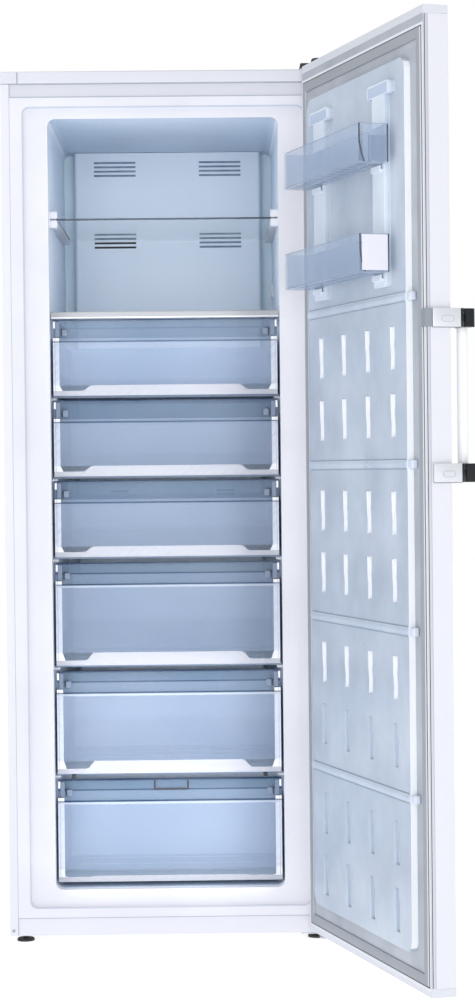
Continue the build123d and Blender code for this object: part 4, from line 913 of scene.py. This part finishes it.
# what fills the free end: a blue pocket in the upper basket, and in the lower a white sheet that paints a
# reflection
end_places = {
    1: ((-0.5650, 0.0600, 0.0030), (-0.5640, 0.0920, 0.0520), pocket_blue),
    2: ((-0.5682, 0.0594, 0.0040), (-0.5676, 0.1120, 0.0722), painted_highlight_white),
}
for number, floor in basket_floors.items():
    body = f"door_basket_{number}"
    for x, y, high, name in rib_places:
        rib = start_block(
            f"basket_rib_{name}_{number}", (x, y, floor + 0.0010), (x + 0.0026, y + 0.0024, floor + high)
        )
        if name == "front":
            # the corner leans back towards the door below
            cut_across(rib, 2, [floor + 0.018, floor + 0.040])
            shift_picked(rib, lambda corner: corner.co.z < floor + 0.020, (0, -0.0040, 0))
            shift_picked(rib, lambda corner: corner.co.z < floor + 0.002, (0, -0.0060, 0))
        round_edges(rib, 0.0006)
        dress(hang_on_door(rib), basket_edge, body, "clear_plastic")
    for name, low, high in rim_places:
        add_door_block(
            f"basket_rim_{name}_{number}",
            (low[0], low[1], floor + low[2]), (high[0], high[1], floor + high[2]),
            0.0003, ridge_shadow, "clear_plastic", segments=1, body=body,
        )
    low, high, finish = end_places[number]
    add_door_block(
        f"basket_pocket_{number}",
        (low[0], low[1], floor + low[2]), (high[0], high[1], floor + high[2]),
        0.0003, finish, "clear_plastic", segments=1, body=body,
    )


# ---------------------------------------------------------------- seams of the casing
def add_seam(name, x_low, x_high, z_low, z_high):
    """A thin strip set in the front where two sheets meet, painted shade for the gap between them."""
    add_block(
        name, (x_low, front_y - 0.0002, z_low), (x_high, front_y + 0.001, z_high),
        0.00015, seam_shade_soft, "cabinet", "white_steel", segments=1,
    )


add_seam("seam_under_top_cover", -0.3495, 0.3495, 1.8618, 1.8636)
add_seam("seam_over_tank", -0.3315, 0.3315, 1.8330, 1.8348)
add_seam("seam_under_tank", -0.3315, 0.3315, 0.0524, 0.0538)
for side, name in sides:
    add_seam(f"seam_flange_{name}", *sorted((side * 0.3310, side * 0.3320)), 0.0160, 1.8620)
add_seam("seam_corner_cap", -0.3136, -0.3124, 1.8640, 1.8880)

# ---------------------------------------------------------------- inside the cabinet
# sheets of painted shade behind the cold air slots: four outlets, each in two halves, and the returns low
# down, black where the shade is deepest
slot_shade_sheets = []
for row, level in (("upper", 1.748), ("lower", 1.576)):
    for side, name in sides:
        foot_finish = black_moulded if (row, name) == ("lower", "left") else slot_shadow
        slot_shade_sheets += [
            (f"{row}_{name}_top", side * 0.126, 0.052, level, level + 0.022, slot_shadow),
            (f"{row}_{name}_foot", side * 0.126, 0.052, level - 0.022, level, foot_finish),
        ]
slot_shade_sheets += [
    ("return_left", -0.122, 0.024, 0.969, 0.981, black_moulded),
    ("return_right", 0.132, 0.024, 0.948, 0.981, black_moulded),
]
for name, middle, half, low, high, finish in slot_shade_sheets:
    add_block(
        f"slot_back_{name}", (middle - half, 0.2247, low), (middle + half, 0.2257, high),
        0.0003, finish, "cabinet", "black_plastic", segments=1,
    )

# a soft line of painted shade round the step that the door seal lands on
line = start_sheet("seat_line", (-0.3052, 0.0733), (0.3052, 1.8137), front_y)
open_mesh(line)
bpy.ops.mesh.bevel(offset=0.016, segments=5, affect="VERTICES")
bpy.ops.mesh.select_all(action="SELECT")
bpy.ops.mesh.inset(thickness=0.0020, depth=0)
rest()
drop_faces(line, lambda face: abs(centre_of(face).x) < 0.05 and abs(centre_of(face).z - 0.9435) < 0.05)
work(line, "SOLIDIFY", thickness=0.0003, offset=1)
dress(line, seat_shade, "cabinet", "liner_plastic")

# white end caps on the upper shelf's front corners
for side, name in sides:
    ends = sorted((side * 0.2338, side * 0.2474))
    add_block(
        f"shelf_cap_{name}", (ends[0], -0.2849, 1.5701), (ends[1], -0.2700, 1.5795),
        0.0015, clip_white, "upper_shelf", "white_plastic",
    )
# a lip along the foot of the fixed shelf's trim, bright with a painted highlight
add_block(
    "trim_lip", (-0.2475, -0.3003, 1.3572), (0.2475, -0.2995, 1.3600),
    0.0002, painted_highlight_white, "cabinet", "trim_plastic", segments=1,
)

# ---------------------------------------------------------------- the CAD nodes' own finishes
node_finish = {
    "cabinet_shell": enamel, "top_cover": moulded_white, "top_corner_cap": moulded_white,
    "front_top_rail": recess_white, "front_bottom_rail": enamel, "back_panel": enamel,
    "base_pan": zinc_sheet, "inner_liner": tank_plastic, "insulation": foam,
    "evaporator_cover": cover_plastic, "evaporator": fin_aluminium, "fan_motor": black_moulded,
    "fan_wheel": black_moulded, "temperature_sensor": moulded_white, "compressor": pump_enamel,
    "compressor_mounts": black_rubber, "condenser": copper_tube, "drip_tray": black_moulded,
    "compressor_cover": zinc_sheet, "control_board": board_green, "roller_brackets": zinc_sheet,
    "top_hinge": zinc_sheet, "top_hinge_cover": black_moulded, "bottom_hinge": zinc_sheet,
    "hinge_screws": zinc_sheet, "flange_plugs": grey_moulded, "shelf_supports": moulded_white,
    "plate_ledges": clip_white, "fixed_shelf_trim": trim_plastic, "drawer_plates": shelf_glass,
    "upper_shelf": upper_glass, "door_skin": enamel, "door_end_caps": moulded_white,
    "door_bushes": grey_moulded, "door_insulation": foam, "door_liner": door_plastic,
    "door_gasket": seal_rubber, "handle_brackets": bright_metal, "handle_plugs": plug_plastic,
    "handle_arms": black_gloss, "handle_bar": bar_white, "handle_pusher": pusher_grey,
    "front_foot_left": black_moulded, "front_foot_right": black_moulded,
    "rear_roller_left": grey_moulded, "rear_roller_right": grey_moulded,
    "door_basket_1": basket_clear, "door_basket_2": basket_clear,
}
for number, floor in drawer_floors.items():
    kind = "small" if number < 4 else "large"
    node_finish[f"drawer_tub_{number}"] = box_plastic
    node_finish[f"drawer_front_{number}"] = zoned(
        f"clear_front_{number}", "Z", floor, floor + drawer_heights[number],
        window_colours[kind], 0.14, window_walls[kind], grain=(60, 0.000004), shine=0.14,
    )

soft_edges = {
    "cabinet_shell": 0.0006, "top_cover": 0.0025, "top_corner_cap": 0.0025, "front_top_rail": 0.001,
    "front_bottom_rail": 0.001, "door_skin": 0.003, "door_end_caps": 0.003, "evaporator_cover": 0.002,
    "shelf_supports": 0.002, "fixed_shelf_trim": 0.002, "inner_liner": 0.002,
}
for name, piece in cad.items():
    piece.data.materials.clear()
    piece.data.materials.append(node_finish[name])
    for face in piece.data.polygons:
        face.use_smooth = True
    piece.modifiers.new("joined", "WELD").merge_threshold = 0.00002
    if name in soft_edges:
        edge = piece.modifiers.new("soft_edges", "BEVEL")
        edge.width = soft_edges[name]
        edge.segments = 2
        edge.limit_method = "ANGLE"
        edge.angle_limit = math.radians(40)
        piece.modifiers.new("even_shading", "WEIGHTED_NORMAL").weight = 90
    else:
        piece.modifiers.new("crisp_edges", "EDGE_SPLIT").split_angle = math.radians(28)
